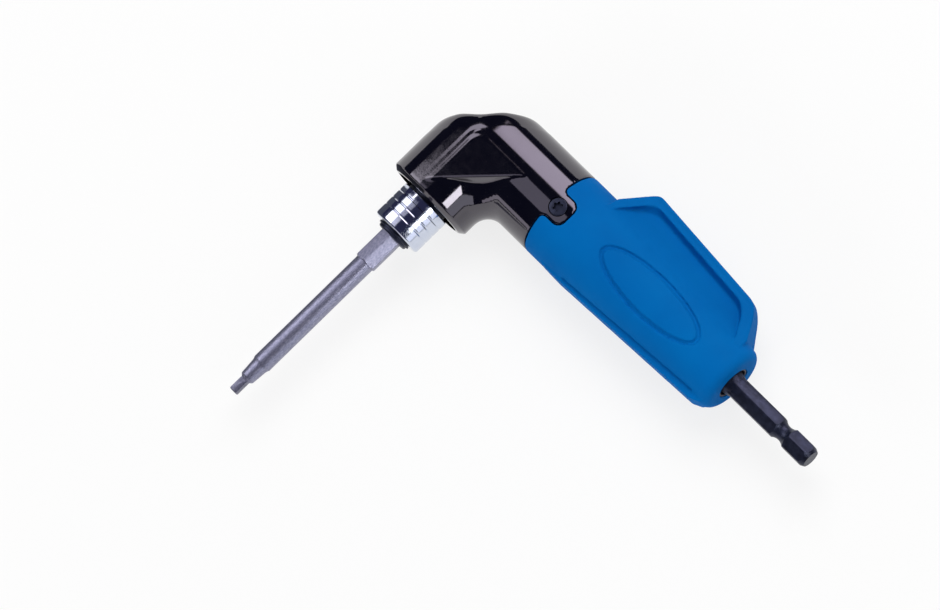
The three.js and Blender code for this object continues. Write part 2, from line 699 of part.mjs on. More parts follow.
function tailBush() {
  const end = TAIL_BUSH_LENGTH - TAIL_TOP;
  return alongOutput(ring(TAIL_RADIUS + FIT, tailBushRadius(), -TAIL_TOP, end), SMALL_SIDES);
}

function outputSpindle() {
  const grooveRadius = SPINDLE_RADIUS - CLIP_BITE;
  const body = alongOutput([
    [0, -TAIL_TOP], [TAIL_RADIUS, -TAIL_TOP], [TAIL_RADIUS, gearToe], [GEAR_JOURNAL, gearToe],
    [GEAR_JOURNAL, spacerStart], [BEARING_BORE, spacerStart], [BEARING_BORE, clipStart],
    [FLANGE_RADIUS, clipStart], [FLANGE_RADIUS, flangeEnd], [SPINDLE_RADIUS, flangeEnd],
    [SPINDLE_RADIUS, snapStart - FIT / 2], [grooveRadius, snapStart - FIT / 2],
    [grooveRadius, snapEnd + FIT / 2], [SPINDLE_RADIUS, snapEnd + FIT / 2],
    [SPINDLE_RADIUS, spindleEnd], [0, spindleEnd],
  ], 2 * SMALL_SIDES);
  const socketOutline = polygon(6, HEX_FLATS / 2 + FIT, bitTurn);
  const socket = prism(socketOutline, magnetEnd, spindleEnd + SINK, acrossOutput);
  const magnetPocket = rod(MAGNET_RADIUS + FIT, magnetStart - FIT, magnetEnd + SINK);
  const magnetBore = alongOutput(magnetPocket, 2 * SMALL_SIDES);
  const ballBore = upright(LOCK_BALL_RADIUS + FIT, 0, -ballPlace, 0, 2 * SPINDLE_RADIUS);
  return cut(body, socket, magnetBore, ballBore, hubPinBore());
}

function collar() {
  const bore = SPINDLE_RADIUS + RUN - FIT / 2;
  const grooves = COLLAR_GROOVES.flatMap((place) => {
    const middle = collarFront - place;
    const half = COLLAR_GROOVE_SIZE / 2;
    const floor = COLLAR_RADIUS - COLLAR_GROOVE_SIZE;
    return [
      [COLLAR_RADIUS, middle + half], [floor, middle + half],
      [floor, middle - half], [COLLAR_RADIUS, middle - half],
    ];
  });
  const lean = Math.atan(RAMP_SLOPE);
  const touch = LOCK_BALL_RADIUS + FIT / 2;
  const rampRadius = (place) => LOCK_BALL_CENTRE + touch / Math.cos(lean) + RAMP_SLOPE * (place - ballPlace);
  const rampStart = ballPlace + (bore - rampRadius(ballPlace)) / RAMP_SLOPE;
  const rampEnd = ballPlace + COLLAR_TRAVEL;
  return alongOutput([
    [bore, collarFront], [COLLAR_RADIUS - COLLAR_CHAMFER, collarFront],
    [COLLAR_RADIUS, collarFront - COLLAR_CHAMFER],
    ...grooves,
    [COLLAR_RADIUS, collarRear + COLLAR_CHAMFER], [COLLAR_RADIUS - COLLAR_CHAMFER, collarRear],
    [POCKET_RADIUS, collarRear], [POCKET_RADIUS, pocketEnd], [bore, pocketEnd], [bore, rampStart],
    [rampRadius(rampEnd), rampEnd], [rampRadius(rampEnd), collarFront - COLLAR_LIP],
    [bore, collarFront - COLLAR_LIP], [bore, collarFront],
  ], SIDES);
}

function lockBall() {
  const ball = new THREE.SphereGeometry(LOCK_BALL_RADIUS, SMALL_SIDES, SMALL_SIDES / 2);
  return solid(ball.translate(0, -ballPlace, LOCK_BALL_CENTRE));
}

// Spring: one unbroken wire between the spindle's flange and the bottom of the collar's pocket.
function collarSpring() {
  const start = flangeEnd + SPRING_WIRE + FIT / 2;
  const end = pocketEnd - SPRING_WIRE - FIT / 2;
  const steps = SPRING_TURNS * SPRING_STEPS;
  const centre = (i) => {
    const angle = (2 * Math.PI * i) / SPRING_STEPS;
    const place = start + ((end - start) * i) / steps;
    return new THREE.Vector3(SPRING_RADIUS * Math.cos(angle), -place, SPRING_RADIUS * Math.sin(angle));
  };
  const centres = stations(0, steps, steps).map(centre);
  let least = Infinity;
  for (let i = 0; i < centres.length; i += 1) {
    for (let j = i + SPRING_STEPS - 1; j < centres.length; j += 1) {
      least = Math.min(least, centres[i].distanceTo(centres[j]) - 2 * SPRING_WIRE);
    }
  }
  console.log(`spring: least gap between turns ${least.toFixed(2)} mm`);
  const up = new THREE.Vector3(0, 1, 0);
  const outline = polygon(SPRING_SIDES, SPRING_WIRE * Math.cos(Math.PI / SPRING_SIDES), 0);
  const sections = centres.map((at) => ({ at, outline }));
  const acrossWire = (u, v, at) => {
    const out = new THREE.Vector3(at.x, 0, at.z).normalize();
    return at.clone().addScaledVector(out, u).addScaledVector(up, v).toArray();
  };
  return loft(sections, acrossWire);
}

function magnet() {
  return alongOutput(rod(MAGNET_RADIUS, magnetStart, magnetEnd), 2 * SMALL_SIDES);
}

// Driver bit

function driverBit() {
  const corner = HEX_FLATS / Math.sqrt(3);
  const slope = corner - BIT_GROOVE_RADIUS;
  const half = BIT_GROOVE_WIDTH / 2;
  const hexagon = prism(polygon(6, HEX_FLATS / 2, bitTurn), bitInner, hexEnd, acrossOutput);
  const envelope = alongOutput([
    [0, bitInner], [corner - BIT_CHAMFER, bitInner], [corner + SINK, bitInner + BIT_CHAMFER + SINK],
    [corner + SINK, ballPlace - half - SINK], [BIT_GROOVE_RADIUS, ballPlace - half + slope],
    [BIT_GROOVE_RADIUS, ballPlace + half - slope], [corner + SINK, ballPlace + half + SINK],
    [corner + SINK, hexEnd - BIT_CHAMFER - SINK], [corner - BIT_CHAMFER, hexEnd], [0, hexEnd],
  ], 2 * SMALL_SIDES);
  const neckTip = BIT_NECK_RADIUS - BIT_NECK_TAPER;
  const shaft = alongOutput([
    [0, hexEnd - SINK], [BIT_ROUND_RADIUS, hexEnd - SINK], [BIT_ROUND_RADIUS, roundEnd],
    [BIT_NECK_RADIUS, roundEnd + BIT_STEP], [neckTip, neckEnd - BIT_STEP],
    [BIT_SQUARE / 2, neckEnd], [0, neckEnd],
  ], 2 * SMALL_SIDES);
  const square = prism(polygon(4, BIT_SQUARE / 2, Math.PI / 4), neckEnd - BIT_STEP, bitEnd, acrossOutput);
  return join(hexagon.intersect(envelope), shaft, square);
}

// Assembly

const tool = new THREE.Group();
tool.position.x = -shankEnd;

function add(name, shape, material) {
  tool.add(piece(name, shape, material));
}

// Turns what is drawn along the output axis onto the input axis.
function onInput(name, shape, material) {
  const mesh = piece(name, shape, material);
  mesh.rotation.z = Math.PI / 2;
  tool.add(mesh);
}

const rings = bearingRings();
const noseClip = openRing(seatRadius - 2 * CLIP_STAND, seatRadius + CLIP_BITE, clipStart, clipEnd);
const shaftClip = openRing(BEARING_BORE - CLIP_BITE + FIT, BEARING_BORE + CLIP_STAND, clipStart, clipEnd);
const snapRing = openRing(SPINDLE_RADIUS - CLIP_BITE + FIT, SNAP_RADIUS, snapStart, snapEnd);

add('gear_head', gearHead(), finishes.blackPaint);
add('handle', handle(), finishes.bluePlastic);
add('top_screw', screw(1), finishes.blackSteel);
add('bottom_screw', screw(-1), finishes.blackSteel);
add('rear_bush', rearBush(), finishes.blackSteel);
add('tail_bush', tailBush(), finishes.bronze);
onInput('input_bearing_outer_ring', rings.outer, finishes.plainSteel);
add('output_bearing_outer_ring', rings.outer, finishes.plainSteel);
add('nose_retaining_ring', noseClip, finishes.blackSteel);

add('input_shaft', inputShaft(), finishes.blackSteel);
onInput('drive_pinion', bevelGear(0), finishes.plainSteel);
onInput('pinion_pin', hubPin(), finishes.plainSteel);
onInput('input_spacer', spacer(), finishes.plainSteel);
onInput('input_bearing_inner_ring', rings.inner, finishes.plainSteel);
onInput('input_bearing_ball_cage', ballCage(), finishes.plainSteel);
onInput('shaft_retaining_ring', shaftClip, finishes.blackSteel);

add('output_spindle', outputSpindle(), finishes.blackSteel);
add('output_gear', bevelGear(Math.PI / TEETH), finishes.plainSteel);
add('gear_pin', hubPin(), finishes.plainSteel);
add('output_spacer', spacer(), finishes.plainSteel);
add('output_bearing_inner_ring', rings.inner, finishes.plainSteel);
add('output_bearing_ball_cage', ballCage(), finishes.plainSteel);
add('bit_magnet', magnet(), finishes.plainSteel);
add('snap_ring', snapRing, finishes.blackSteel);
add('quick_change_collar', collar(), finishes.chrome);
add('collar_spring', collarSpring(), finishes.plainSteel);
add('lock_ball', lockBall(), finishes.plainSteel);
add('square_bit', driverBit(), finishes.bitSteel);

export default tool;
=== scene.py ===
"""Looks of a right-angle bit driver: a black cast elbow, a winged blue grip and a bright collar."""

import json
import math

import bmesh
import bpy
from mathutils import Matrix, Vector


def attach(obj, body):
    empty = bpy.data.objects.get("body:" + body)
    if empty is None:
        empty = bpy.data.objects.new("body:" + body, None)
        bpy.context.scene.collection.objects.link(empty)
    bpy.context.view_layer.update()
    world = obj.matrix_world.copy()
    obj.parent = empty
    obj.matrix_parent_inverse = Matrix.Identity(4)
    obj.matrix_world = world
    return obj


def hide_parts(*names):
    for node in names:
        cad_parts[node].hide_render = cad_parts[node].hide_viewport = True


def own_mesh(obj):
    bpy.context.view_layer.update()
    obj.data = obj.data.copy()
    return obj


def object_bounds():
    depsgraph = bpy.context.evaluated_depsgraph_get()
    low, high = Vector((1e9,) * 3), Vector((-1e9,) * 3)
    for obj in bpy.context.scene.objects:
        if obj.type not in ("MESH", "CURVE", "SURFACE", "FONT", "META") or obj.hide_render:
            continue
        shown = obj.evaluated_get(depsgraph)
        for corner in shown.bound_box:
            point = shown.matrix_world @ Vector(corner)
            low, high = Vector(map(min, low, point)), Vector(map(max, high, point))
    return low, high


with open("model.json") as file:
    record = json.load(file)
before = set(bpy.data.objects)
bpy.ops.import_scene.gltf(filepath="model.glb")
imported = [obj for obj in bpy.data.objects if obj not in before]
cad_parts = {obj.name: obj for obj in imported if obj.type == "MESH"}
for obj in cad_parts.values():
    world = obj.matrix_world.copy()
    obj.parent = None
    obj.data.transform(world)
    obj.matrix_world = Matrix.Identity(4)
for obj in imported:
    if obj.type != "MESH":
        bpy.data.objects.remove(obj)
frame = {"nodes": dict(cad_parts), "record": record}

cad_box = [list(corner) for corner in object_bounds()]

# Pieces are modelled in millimetres from the point where the two shafts cross, then settled into the
# frame: the input shaft runs along +X to the shank, the output shaft along -Y to the bit. A place is a
# distance along a shaft from the crossing, and R in a name stands for a radius.
MM = 0.001
CROSSING = (-0.1318, 0, 0)
MERGE = 0.0005  # points closer than this become one
NEAR = 0.01  # how closely a point has to lie on a plane to be picked
PAST = 1  # how far stock and cutters run past a face
THROUGH = 40  # height of a cutter that goes right through the tool

# Gear head
HEAD_R = 13.9
TUBE_BACK = -30
SEAM_AT = 30
MOUTH_AT = 23.8
MOUTH_R = 11.25
MOUTH_STEP = 21.2
LIP_WIDE = 1.6
LIP_DEEP = 1.2
CORNER_CUT = 6.3
CORNER_ROUND = 3.6
CORNER_SOFT = 2.0
CORNER_LEG = 3.2
CORNER_PASSES = 150
CORNER_PRESS_AT = (4.4, 12.8)
CORNER_PRESS_BY = (0.62, 0.2)
CORNER_PRESS_REACH = 8
CROTCH_ROUND = 5.4
CREASE_CLEAR = 0.04  # share of the radius by which each crease stops short of the top
CHEEK_Z = 14.1
CHEEK_EDGE = 0.5
CHEEK_FOOT = -1.7
CHEEK_STEP = 0.45
CHEEK_ROUND = 4
CHEEK_BASE = 19.66
CHEEK_FLARED_BASE = 21.3
CHEEK_DROP = 3.9
TAB_END = 37
TAB_HALF = 4.1
TAB_CORNER = 2.6
TAB_ROOT = 2.0
NOTCH_GAP = 0.3

# Rooms inside the head
GEAR_ROOM_AT = 4.6
GEAR_ROOM_R = 9.3
BEARING_AT = 14.2
BEARING_R = 9.7
BEARING_END = 19.4
RING_SLOT_END = 20.6
NOSE_SLOT_R = 10.4
SPIGOT_ROOM_R = 10.9
TAIL_ROOM_AT = -3.2
TAIL_ROOM_R = 3.9

# Screws
SCREW_AT = 32.5
SCREW_HOLE_R = 1.7
SCREW_HOLE_FROM = 5
SCREW_HOLE_TO = 16
SCREW_SEAT_Z = 12.3
SCREW_SEAT_R = 2.85
SCREW_TIP_Z = 7.5
SCREW_TIP_R = 1.3
SCREW_LEAD = 0.3
SCREW_R = 1.5
SCREW_HEAD_Z = 12.5
SCREW_HEAD_R = 2.65
SCREW_CROWN = 0.3
SCREW_EDGE_Z = 13.7
SCREW_TOP_Z = 14.06
SOCKET_FLOOR_Z = 12.75
LOBE_R = 1.32
LOBE_DEEP = 0.24
LOBES = 6

# Handle
HANDLE_START = 30.3
TAPER_START = 41
TAPER_END = 97.8
BOSS_R = 10.6
BOSS_ROUND = 2.8
HANDLE_END = 100.6
SPIGOT_AT = 19.6
SPIGOT_R = 10.6
SPIGOT_END = 32
NOTCH_CORE = (20, 60)
BORE_AT = 19
BORE_R = 6.8
BORE_END = 98.9
END_HOLE_R = 5.25
END_HOLE_END = 102

# The wing's edge: three straight lines, each with a place, a distance from the axis there and a slope
WING_FRONT = (40.8, 13.3, 1.49)
WING_OUTER = (48.9, 23.0, -0.076)
WING_REAR = (96.5, 10.6, -1.44)
WING_START = WING_FRONT[0]
WING_END = WING_REAR[0]
WING_FRONT_BLEND = 2.2
WING_REAR_BLEND = 4
WING_HALF = 3.6
WING_ROOT = -2
WING_STOCK = 30
FLANK_ROOT_FRONT = (9.167, 10.181)
FLANK_ROOT_REAR = (6.959, 7.729)
FLANK_EDGE_FRONT = 22.4
FLANK_EDGE_REAR = 18.08
RIM_FROM = 40
RIM_TO = 98
RIM_SHARE = 0.9

# The wing's pockets: each step of the wall is (inset, height), and the lean says how much of the inset
# is taken at the front, along the outer edge and at the rear
POCKET_RIM = (3.0, 2.4, 3.4)
POCKET_WALL = ((2.5, 0.7), (2.05, 1.2), (1.6, 1.9), (1.05, 2.8), (0.4, 3.9), (0, 5), (0, 15))
POCKET_LEAN = (1.7, 1, 0.6)
POCKET_LOW = 4
POCKET_ROOT = 2
POCKET_RUN = 13.3
POCKET_WEB = 1.3
POCKET_END_SLOPE = -0.1
POCKET_PAST = 6
POCKET_TOP = 16

# Lines and ridge on the handle
RIDGE_HALF = 3.8
RIDGE_ROOT = -5
RIDGE_LINE = ((37, -13.8), (44, -14.0), (95.5, -11.8), (98.6, -10.4))
RIDGE_END = 99
SIDE_LINE = ((45, -30), (45, -6), (95, -5), (95, -30))
SIDE_LINE_Z = 3.6
SIDE_LINE_WIDE = 1.1
SIDE_LINE_DEEP = 0.75
OVAL_AT = (69, 0.5)
OVAL_HALF = (19.2, 6.5)
OVAL_LINE_WIDE = 1.3
OVAL_LINE_DEEP = 0.8
OVAL_FROM = 5
OVAL_TO = 20

# Both shafts inside the head
GEAR_SEAT_AT = 5
GEAR_SEAT_R = 3
SHOULDER_AT = 12.6
JOURNAL_R = 5
SLOT_FLOOR_R = 4.5

# Input shaft with its shank, and the bush round it
HEX_FLATS = 6.35
HEX_CORNER = HEX_FLATS / math.sqrt(3)
HEX_BROKEN = 0.2
HEX_CLEAR_R = 4.2  # past the corners of the hexagon
SHAFT_LEAD = 0.2
SHAFT_R = 4.4
SHAFT_STEP = 22.4
SHAFT_TAPER = ((SHAFT_R, 98.6), (4.2, 99.2), (3.95, 99.9), (3.7, 100.8), (3.3, 102.4))
SHANK_ROOT = 97
SHANK_END = 131.8
SHANK_END_R = 2.7
SHANK_CHAMFER = 2.84
SHANK_GROOVE_BACK = 10.6
SHANK_GROOVE_R = 2.45
SHANK_GROOVE_ROUND = 3.27
SHANK_GROOVE_SWEEP = (218, 322)
BUSH_AT = 87.1
BUSH_R = 6.5
BUSH_BORE_R = 4.6
BUSH_STEP = 98.7
BUSH_END = 100.0
BUSH_LIP = (4.9, 100.2)
BUSH_LIP_ROUND = 0.22

# Spindle
TAIL_AT = -3
TAIL_R = 2.5
FLANGE_AT = 19.6
FLANGE_END = 24.7
FLANGE_R = 6.6
SNAP_SLOT = (36.4, 37.2)
SPINDLE_END = 38
SPINDLE_EDGE = ((JOURNAL_R, 37.6), (4.85, 37.85), (4.6, SPINDLE_END))
BIT_TURN = math.radians(22)
BIT_SOCKET_FLATS = 6.75
BIT_SOCKET_CORNER = BIT_SOCKET_FLATS / math.sqrt(3)
BIT_SOCKET = (21.3, 41.3)
BIT_SOCKET_CHAMFER = ((3.6, 37.4), (4.3, 38.2))
SNAP_RING = (36.5, 37.1)
SNAP_RING_BORE_R = 4.7
SNAP_RING_R = 5.6
SNAP_RING_ROUND = 0.15
SNAP_RING_GAP = 0.5  # radians

# Collar and its spring
COLLAR_R = 8
COLLAR_FRONT = 36.3
COLLAR_FRONT_ROUND = 0.9
COLLAR_BACK = 24.3
COLLAR_BACK_ROUND = 0.5
COLLAR_BORE_R = 5.3
COLLAR_BORE_EDGE = 0.2
COLLAR_GROOVES = (32.3, 29.6, 26.9)
COLLAR_GROOVE_SIDE = ((COLLAR_R, 0.36), (7.9, 0.12), (7.78, 0.1))
SPRING_ROOM_R = 7
SPRING_ROOM_END = 29
BALL_ROOM_R = 6.596
BALL_RAMP = (29.96, 33.2)
BALL_ROOM_END = 35.2
SPRING_R = 6
SPRING_AT = 25.05
SPRING_TURNS = 2.5
SPRING_LENGTH = 3.6
WIRE_R = 0.25

# Bit
BIT_HEX = (20, 50)
BIT_BACK = ((3.07, 21.5), (HEX_CLEAR_R, 22.6))
BIT_GROOVE = ((HEX_CLEAR_R, 28.7), (2.45, 30.4), (2.45, 31.6), (HEX_CLEAR_R, 33.3))
BIT_SHOULDER = ((HEX_CLEAR_R, 47.2), (3.7, 47.75), (3.35, 48.2), (3.0, 48.4))
BIT_SHAFT_AT = 47.9
BIT_SHAFT_R = 2.95
BIT_NECK = ((BIT_SHAFT_R, 88.6), (2.86, 88.85), (2.66, 89.3), (2.55, 89.9), (2.48, 90.8))
BIT_CONE = ((2.2, 94.3), (2.1, 94.55), (1.15, 95.5))
SQUARE = 2.4
SQUARE_AT = 94.5
SQUARE_CHAMFER = 0.28
SQUARE_BROKEN = 0.1
BIT_END = 99.9


# Ways of working

def start_clear():
    if bpy.context.object and bpy.context.object.mode != "OBJECT":
        bpy.ops.object.mode_set(mode="OBJECT")
    bpy.ops.object.select_all(action="DESELECT")


def hold(piece):
    start_clear()
    piece.select_set(True)
    bpy.context.view_layer.objects.active = piece


def open_mesh(piece):
    """Opens a piece in edit mode with all of it selected."""
    hold(piece)
    bpy.ops.object.mode_set(mode="EDIT")
    bpy.ops.mesh.select_all(action="SELECT")


def pick(piece, kind, wanted):
    """Selects the points, edges or faces of the opened piece that are wanted."""
    bpy.ops.mesh.select_mode(type=kind)
    bpy.ops.mesh.select_all(action="DESELECT")
    mesh = bmesh.from_edit_mesh(piece.data)
    parts = {"VERT": mesh.verts, "EDGE": mesh.edges, "FACE": mesh.faces}[kind]
    for part in parts:
        if wanted(part):
            part.select_set(True)
    mesh.select_flush_mode()
    bmesh.update_edit_mesh(piece.data)


def close_mesh(piece):
    """Merges doubles, turns all faces outwards and leaves edit mode."""
    bpy.ops.mesh.select_mode(type="VERT")
    bpy.ops.mesh.select_all(action="SELECT")
    bpy.ops.mesh.remove_doubles(threshold=MERGE)
    bpy.ops.mesh.normals_make_consistent(inside=False)
    bpy.ops.object.mode_set(mode="OBJECT")


def pull(step):
    """Extrudes what is selected by one step."""
    bpy.ops.mesh.extrude_region_move(TRANSFORM_OT_translate={"value": step})


def fix_place(piece):
    """Writes a piece's place, turn and size into its mesh."""
    hold(piece)
    bpy.ops.object.transform_apply(location=True, rotation=True, scale=True)


def draw(points):
    """A line through the points, drawn by extruding one point, left open in edit mode."""
    start_clear()
    bpy.ops.mesh.primitive_plane_add(size=1)
    piece = bpy.context.object
    open_mesh(piece)
    bpy.ops.mesh.merge(type="CENTER")
    here = Vector(points[0])
    bpy.ops.transform.translate(value=here)
    for point in points[1:]:
        pull(Vector(point) - here)
        here = Vector(point)
    bpy.ops.mesh.select_all(action="SELECT")
    return piece


def turn(profile, along, sides, closed=False):
    """Spins a profile of (radius, place) round the input axis "X", the output axis "Y" or a screw's "Z"."""
    spots = {
        "X": lambda radius, place: (place, radius, 0),
        "Y": lambda radius, place: (radius, -place, 0),
        "Z": lambda radius, place: (radius, 0, place),
    }
    axes = {"X": (1, 0, 0), "Y": (0, 1, 0), "Z": (0, 0, 1)}
    ring = profile + profile[:1] if closed else profile
    piece = draw([spots[along](radius, place) for radius, place in ring])
    bpy.ops.mesh.spin(steps=sides, angle=math.tau, center=(0, 0, 0), axis=axes[along])
    close_mesh(piece)
    return piece


def rod(radius, start, end, along, sides):
    return turn([(0, start), (radius, start), (radius, end), (0, end)], along, sides)


def slab(outline, step):
    """Fills a drawn outline and pulls it out by one step."""
    piece = draw(outline)
    bpy.ops.mesh.edge_face_add()
    pull(step)
    close_mesh(piece)
    return piece


def ring_of(outline):
    ring = draw(outline + outline[:1])
    bpy.ops.mesh.remove_doubles(threshold=MERGE)
    bpy.ops.object.mode_set(mode="OBJECT")
    return ring


def joined(pieces):
    """Makes one object of the pieces and leaves it open in edit mode."""
    hold(pieces[0])
    for piece in pieces[1:]:
        piece.select_set(True)
    bpy.ops.object.join()
    open_mesh(pieces[0])
    return pieces[0]


def bridged(outlines):
    """Bridges drawn outlines one to the next and fills both ends."""
    spans = []
    low = ring_of(outlines[0])
    for outline in outlines[1:]:
        high = ring_of(outline)
        hold(high)
        bpy.ops.object.duplicate()
        spare = bpy.context.object
        spans.append(joined([low, high]))
        bpy.ops.mesh.bridge_edge_loops()
        bpy.ops.object.mode_set(mode="OBJECT")
        low = spare
    bpy.data.objects.remove(low, do_unlink=True)
    piece = joined(spans)
    bpy.ops.mesh.remove_doubles(threshold=MERGE)
    bpy.ops.mesh.fill_holes(sides=0)
    close_mesh(piece)
    return piece


def fill_ends(piece):
    open_mesh(piece)
    bpy.ops.mesh.fill_holes(sides=0)
    close_mesh(piece)


def cut_off(piece, spot, normal):
    """Cuts away what lies beyond a plane and fills the cut."""
    open_mesh(piece)
    bpy.ops.mesh.bisect(plane_co=spot, plane_no=normal, use_fill=True, clear_outer=True)
    close_mesh(piece)


def combine(body, tool, how):
    hold(body)
    joint = body.modifiers.new("joint", "BOOLEAN")
    joint.operation = how
    joint.solver = "EXACT"
    joint.object = tool
    bpy.ops.object.modifier_apply(modifier=joint.name)
    bpy.data.objects.remove(tool, do_unlink=True)
    return body


def even_skin(piece, voxel, passes):
    """Gives a joined shape one skin with softly rounded edges, as a casting or a moulding has."""
    hold(piece)
    skin = piece.modifiers.new("skin", "REMESH")
    skin.mode = "VOXEL"
    skin.voxel_size = voxel
    soften = piece.modifiers.new("soften", "SMOOTH")
    soften.factor = 0.5
    soften.iterations = passes
    for modifier in (skin, soften):
        bpy.ops.object.modifier_apply(modifier=modifier.name)


def soften_where(piece, wanted, passes):
    open_mesh(piece)
    pick(piece, "VERT", lambda point: wanted(point.co))
    bpy.ops.mesh.vertices_smooth(factor=0.5, repeat=passes)
    bpy.ops.object.mode_set(mode="OBJECT")


def press_in(piece, spot, move, reach):
    """Presses the skin in at one spot, softly out to a reach."""
    open_mesh(piece)
    mesh = bmesh.from_edit_mesh(piece.data)
    nearest = min(mesh.verts, key=lambda point: (point.co - Vector(spot)).length).index
    pick(piece, "VERT", lambda point: point.index == nearest)
    bpy.ops.transform.translate(
        value=move, use_proportional_edit=True, proportional_edit_falloff="SMOOTH", proportional_size=reach,
    )
    bpy.ops.object.mode_set(mode="OBJECT")


def break_edges(piece, width):
    hold(piece)
    bevel = piece.modifiers.new("edges", "BEVEL")
    bevel.width = width
    bevel.segments = 2
    bevel.limit_method = "ANGLE"
    bevel.angle_limit = math.radians(30)
    bpy.ops.object.modifier_apply(modifier=bevel.name)


def even_steps(start, end, count):
    return [start + (end - start) * i / count for i in range(count + 1)]


def arc(centre, radius, start, end, steps):
    """Points on a circle's arc, with its angles in degrees."""
    angles = [math.radians(angle) for angle in even_steps(start, end, steps)]
    return [(centre[0] + radius * math.cos(a), centre[1] + radius * math.sin(a)) for a in angles]


def settle(piece, name, body, slot, *nodes, angle=32):
    """Puts a finished piece into the frame, in metres, with its finish, body and CAD nodes."""
    piece.name = name
    piece.data.name = name
    piece.location = CROSSING
    piece.scale = (MM, MM, MM)
    fix_place(piece)
    bpy.ops.object.shade_smooth_by_angle(angle=math.radians(angle))
    piece.data.materials.clear()
    piece.data.materials.append(finishes[slot])
    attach(piece, body)
    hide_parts(*nodes)
    return piece


# Finishes

def bare_finish(name, **sockets):
    finish = bpy.data.materials.new(name)
    finish.use_nodes = True
    shader = finish.node_tree.nodes["Principled BSDF"]
    for socket, value in sockets.items():
        shader.inputs[socket.replace("_", " ")].default_value = value
    return finish, finish.node_tree, shader


def add_node(tree, kind, **values):
    node = tree.nodes.new(kind)
    for key, value in values.items():
        socket = key.replace("_", " ")
        if socket in node.inputs:
            node.inputs[socket].default_value = value
        else:
            setattr(node, key, value)
    return node


def noise_of(tree, scale, detail=2, stretch=(1, 1, 1)):
    spot = add_node(tree, "ShaderNodeTexCoord")
    mapping = add_node(tree, "ShaderNodeMapping", Scale=stretch)
    noise = add_node(tree, "ShaderNodeTexNoise", Scale=scale, Detail=detail)
    tree.links.new(spot.outputs["Object"], mapping.inputs["Vector"])
    tree.links.new(mapping.outputs["Vector"], noise.inputs["Vector"])
    return noise


def vary_roughness(tree, shader, noise, low, high):
    """Lets the roughness wander between two values."""
    spread = add_node(tree, "ShaderNodeMapRange", From_Min=0.3, From_Max=0.7, To_Min=low, To_Max=high)
    tree.links.new(noise.outputs["Fac"], spread.inputs["Value"])
    tree.links.new(spread.outputs["Result"], shader.inputs["Roughness"])


def tint(tree, shader, noise, dark, light):
    """Lets the colour wander between a dark and a light one."""
    ramp = add_node(tree, "ShaderNodeValToRGB")
    for stop, position, colour in zip(ramp.color_ramp.elements, (0.32, 0.68), (dark, light)):
        stop.position = position
        stop.color = (*colour, 1)
    tree.links.new(noise.outputs["Fac"], ramp.inputs["Fac"])
    tree.links.new(ramp.outputs["Color"], shader.inputs["Base Color"])


def grain(tree, shader, noise, strength, depth=0.1 * MM):
    bump = add_node(tree, "ShaderNodeBump", Strength=strength, Distance=depth)
    tree.links.new(noise.outputs["Fac"], bump.inputs["Height"])
    tree.links.new(bump.outputs["Normal"], shader.inputs["Normal"])


def coated_casting():
    finish, tree, shader = bare_finish(
        "black_paint", Roughness=0.07, IOR=1.9, Specular_Tint=(0.94, 0.88, 1, 1),
    )
    tint(tree, shader, noise_of(tree, 180), dark=(0.0006, 0.0006, 0.001), light=(0.0016, 0.0016, 0.0024))
    vary_roughness(tree, shader, noise_of(tree, 420, detail=3), low=0.05, high=0.09)
    grain(tree, shader, noise_of(tree, 1800), strength=0.03)
    return finish


def moulded_blue():
    finish, tree, shader = bare_finish("blue_plastic", Roughness=0.65, Specular_IOR_Level=0.02)
    tint(tree, shader, noise_of(tree, 60, detail=3), dark=(0.0, 0.128, 0.44), light=(0.0, 0.146, 0.475))
    vary_roughness(tree, shader, noise_of(tree, 900), low=0.55, high=0.66)
    grain(tree, shader, noise_of(tree, 4200), strength=0.1)
    return finish


def black_oxide():
    finish, tree, shader = bare_finish("black_steel", Metallic=0.6, Roughness=0.4)
    tint(tree, shader, noise_of(tree, 500, detail=3), dark=(0.011, 0.014, 0.03), light=(0.025, 0.03, 0.06))
    vary_roughness(tree, shader, noise_of(tree, 1500, detail=3), low=0.3, high=0.44)
    grain(tree, shader, noise_of(tree, 3500), strength=0.1)
    return finish


def turned_chrome():
    finish, tree, shader = bare_finish("chrome", Metallic=1.0, Roughness=0.14)
    tint(tree, shader, noise_of(tree, 300), dark=(0.6, 0.64, 0.75), light=(0.65, 0.69, 0.79))
    vary_roughness(tree, shader, noise_of(tree, 900, stretch=(0.1, 4, 0.1)), low=0.11, high=0.17)
    grain(tree, shader, noise_of(tree, 900, detail=1, stretch=(0.05, 6, 0.05)), strength=0.03)
    return finish


def grey_steel(name, dark, light, low, high, streaks=(1, 1, 1), metallic=1.0, mottle=700):
    finish, tree, shader = bare_finish(name, Metallic=metallic, Roughness=(low + high) / 2)
    tint(tree, shader, noise_of(tree, mottle, detail=3, stretch=streaks), dark, light)
    vary_roughness(tree, shader, noise_of(tree, 1600, detail=3, stretch=streaks), low, high)
    grain(tree, shader, noise_of(tree, 3000, stretch=streaks), strength=0.08)
    return finish


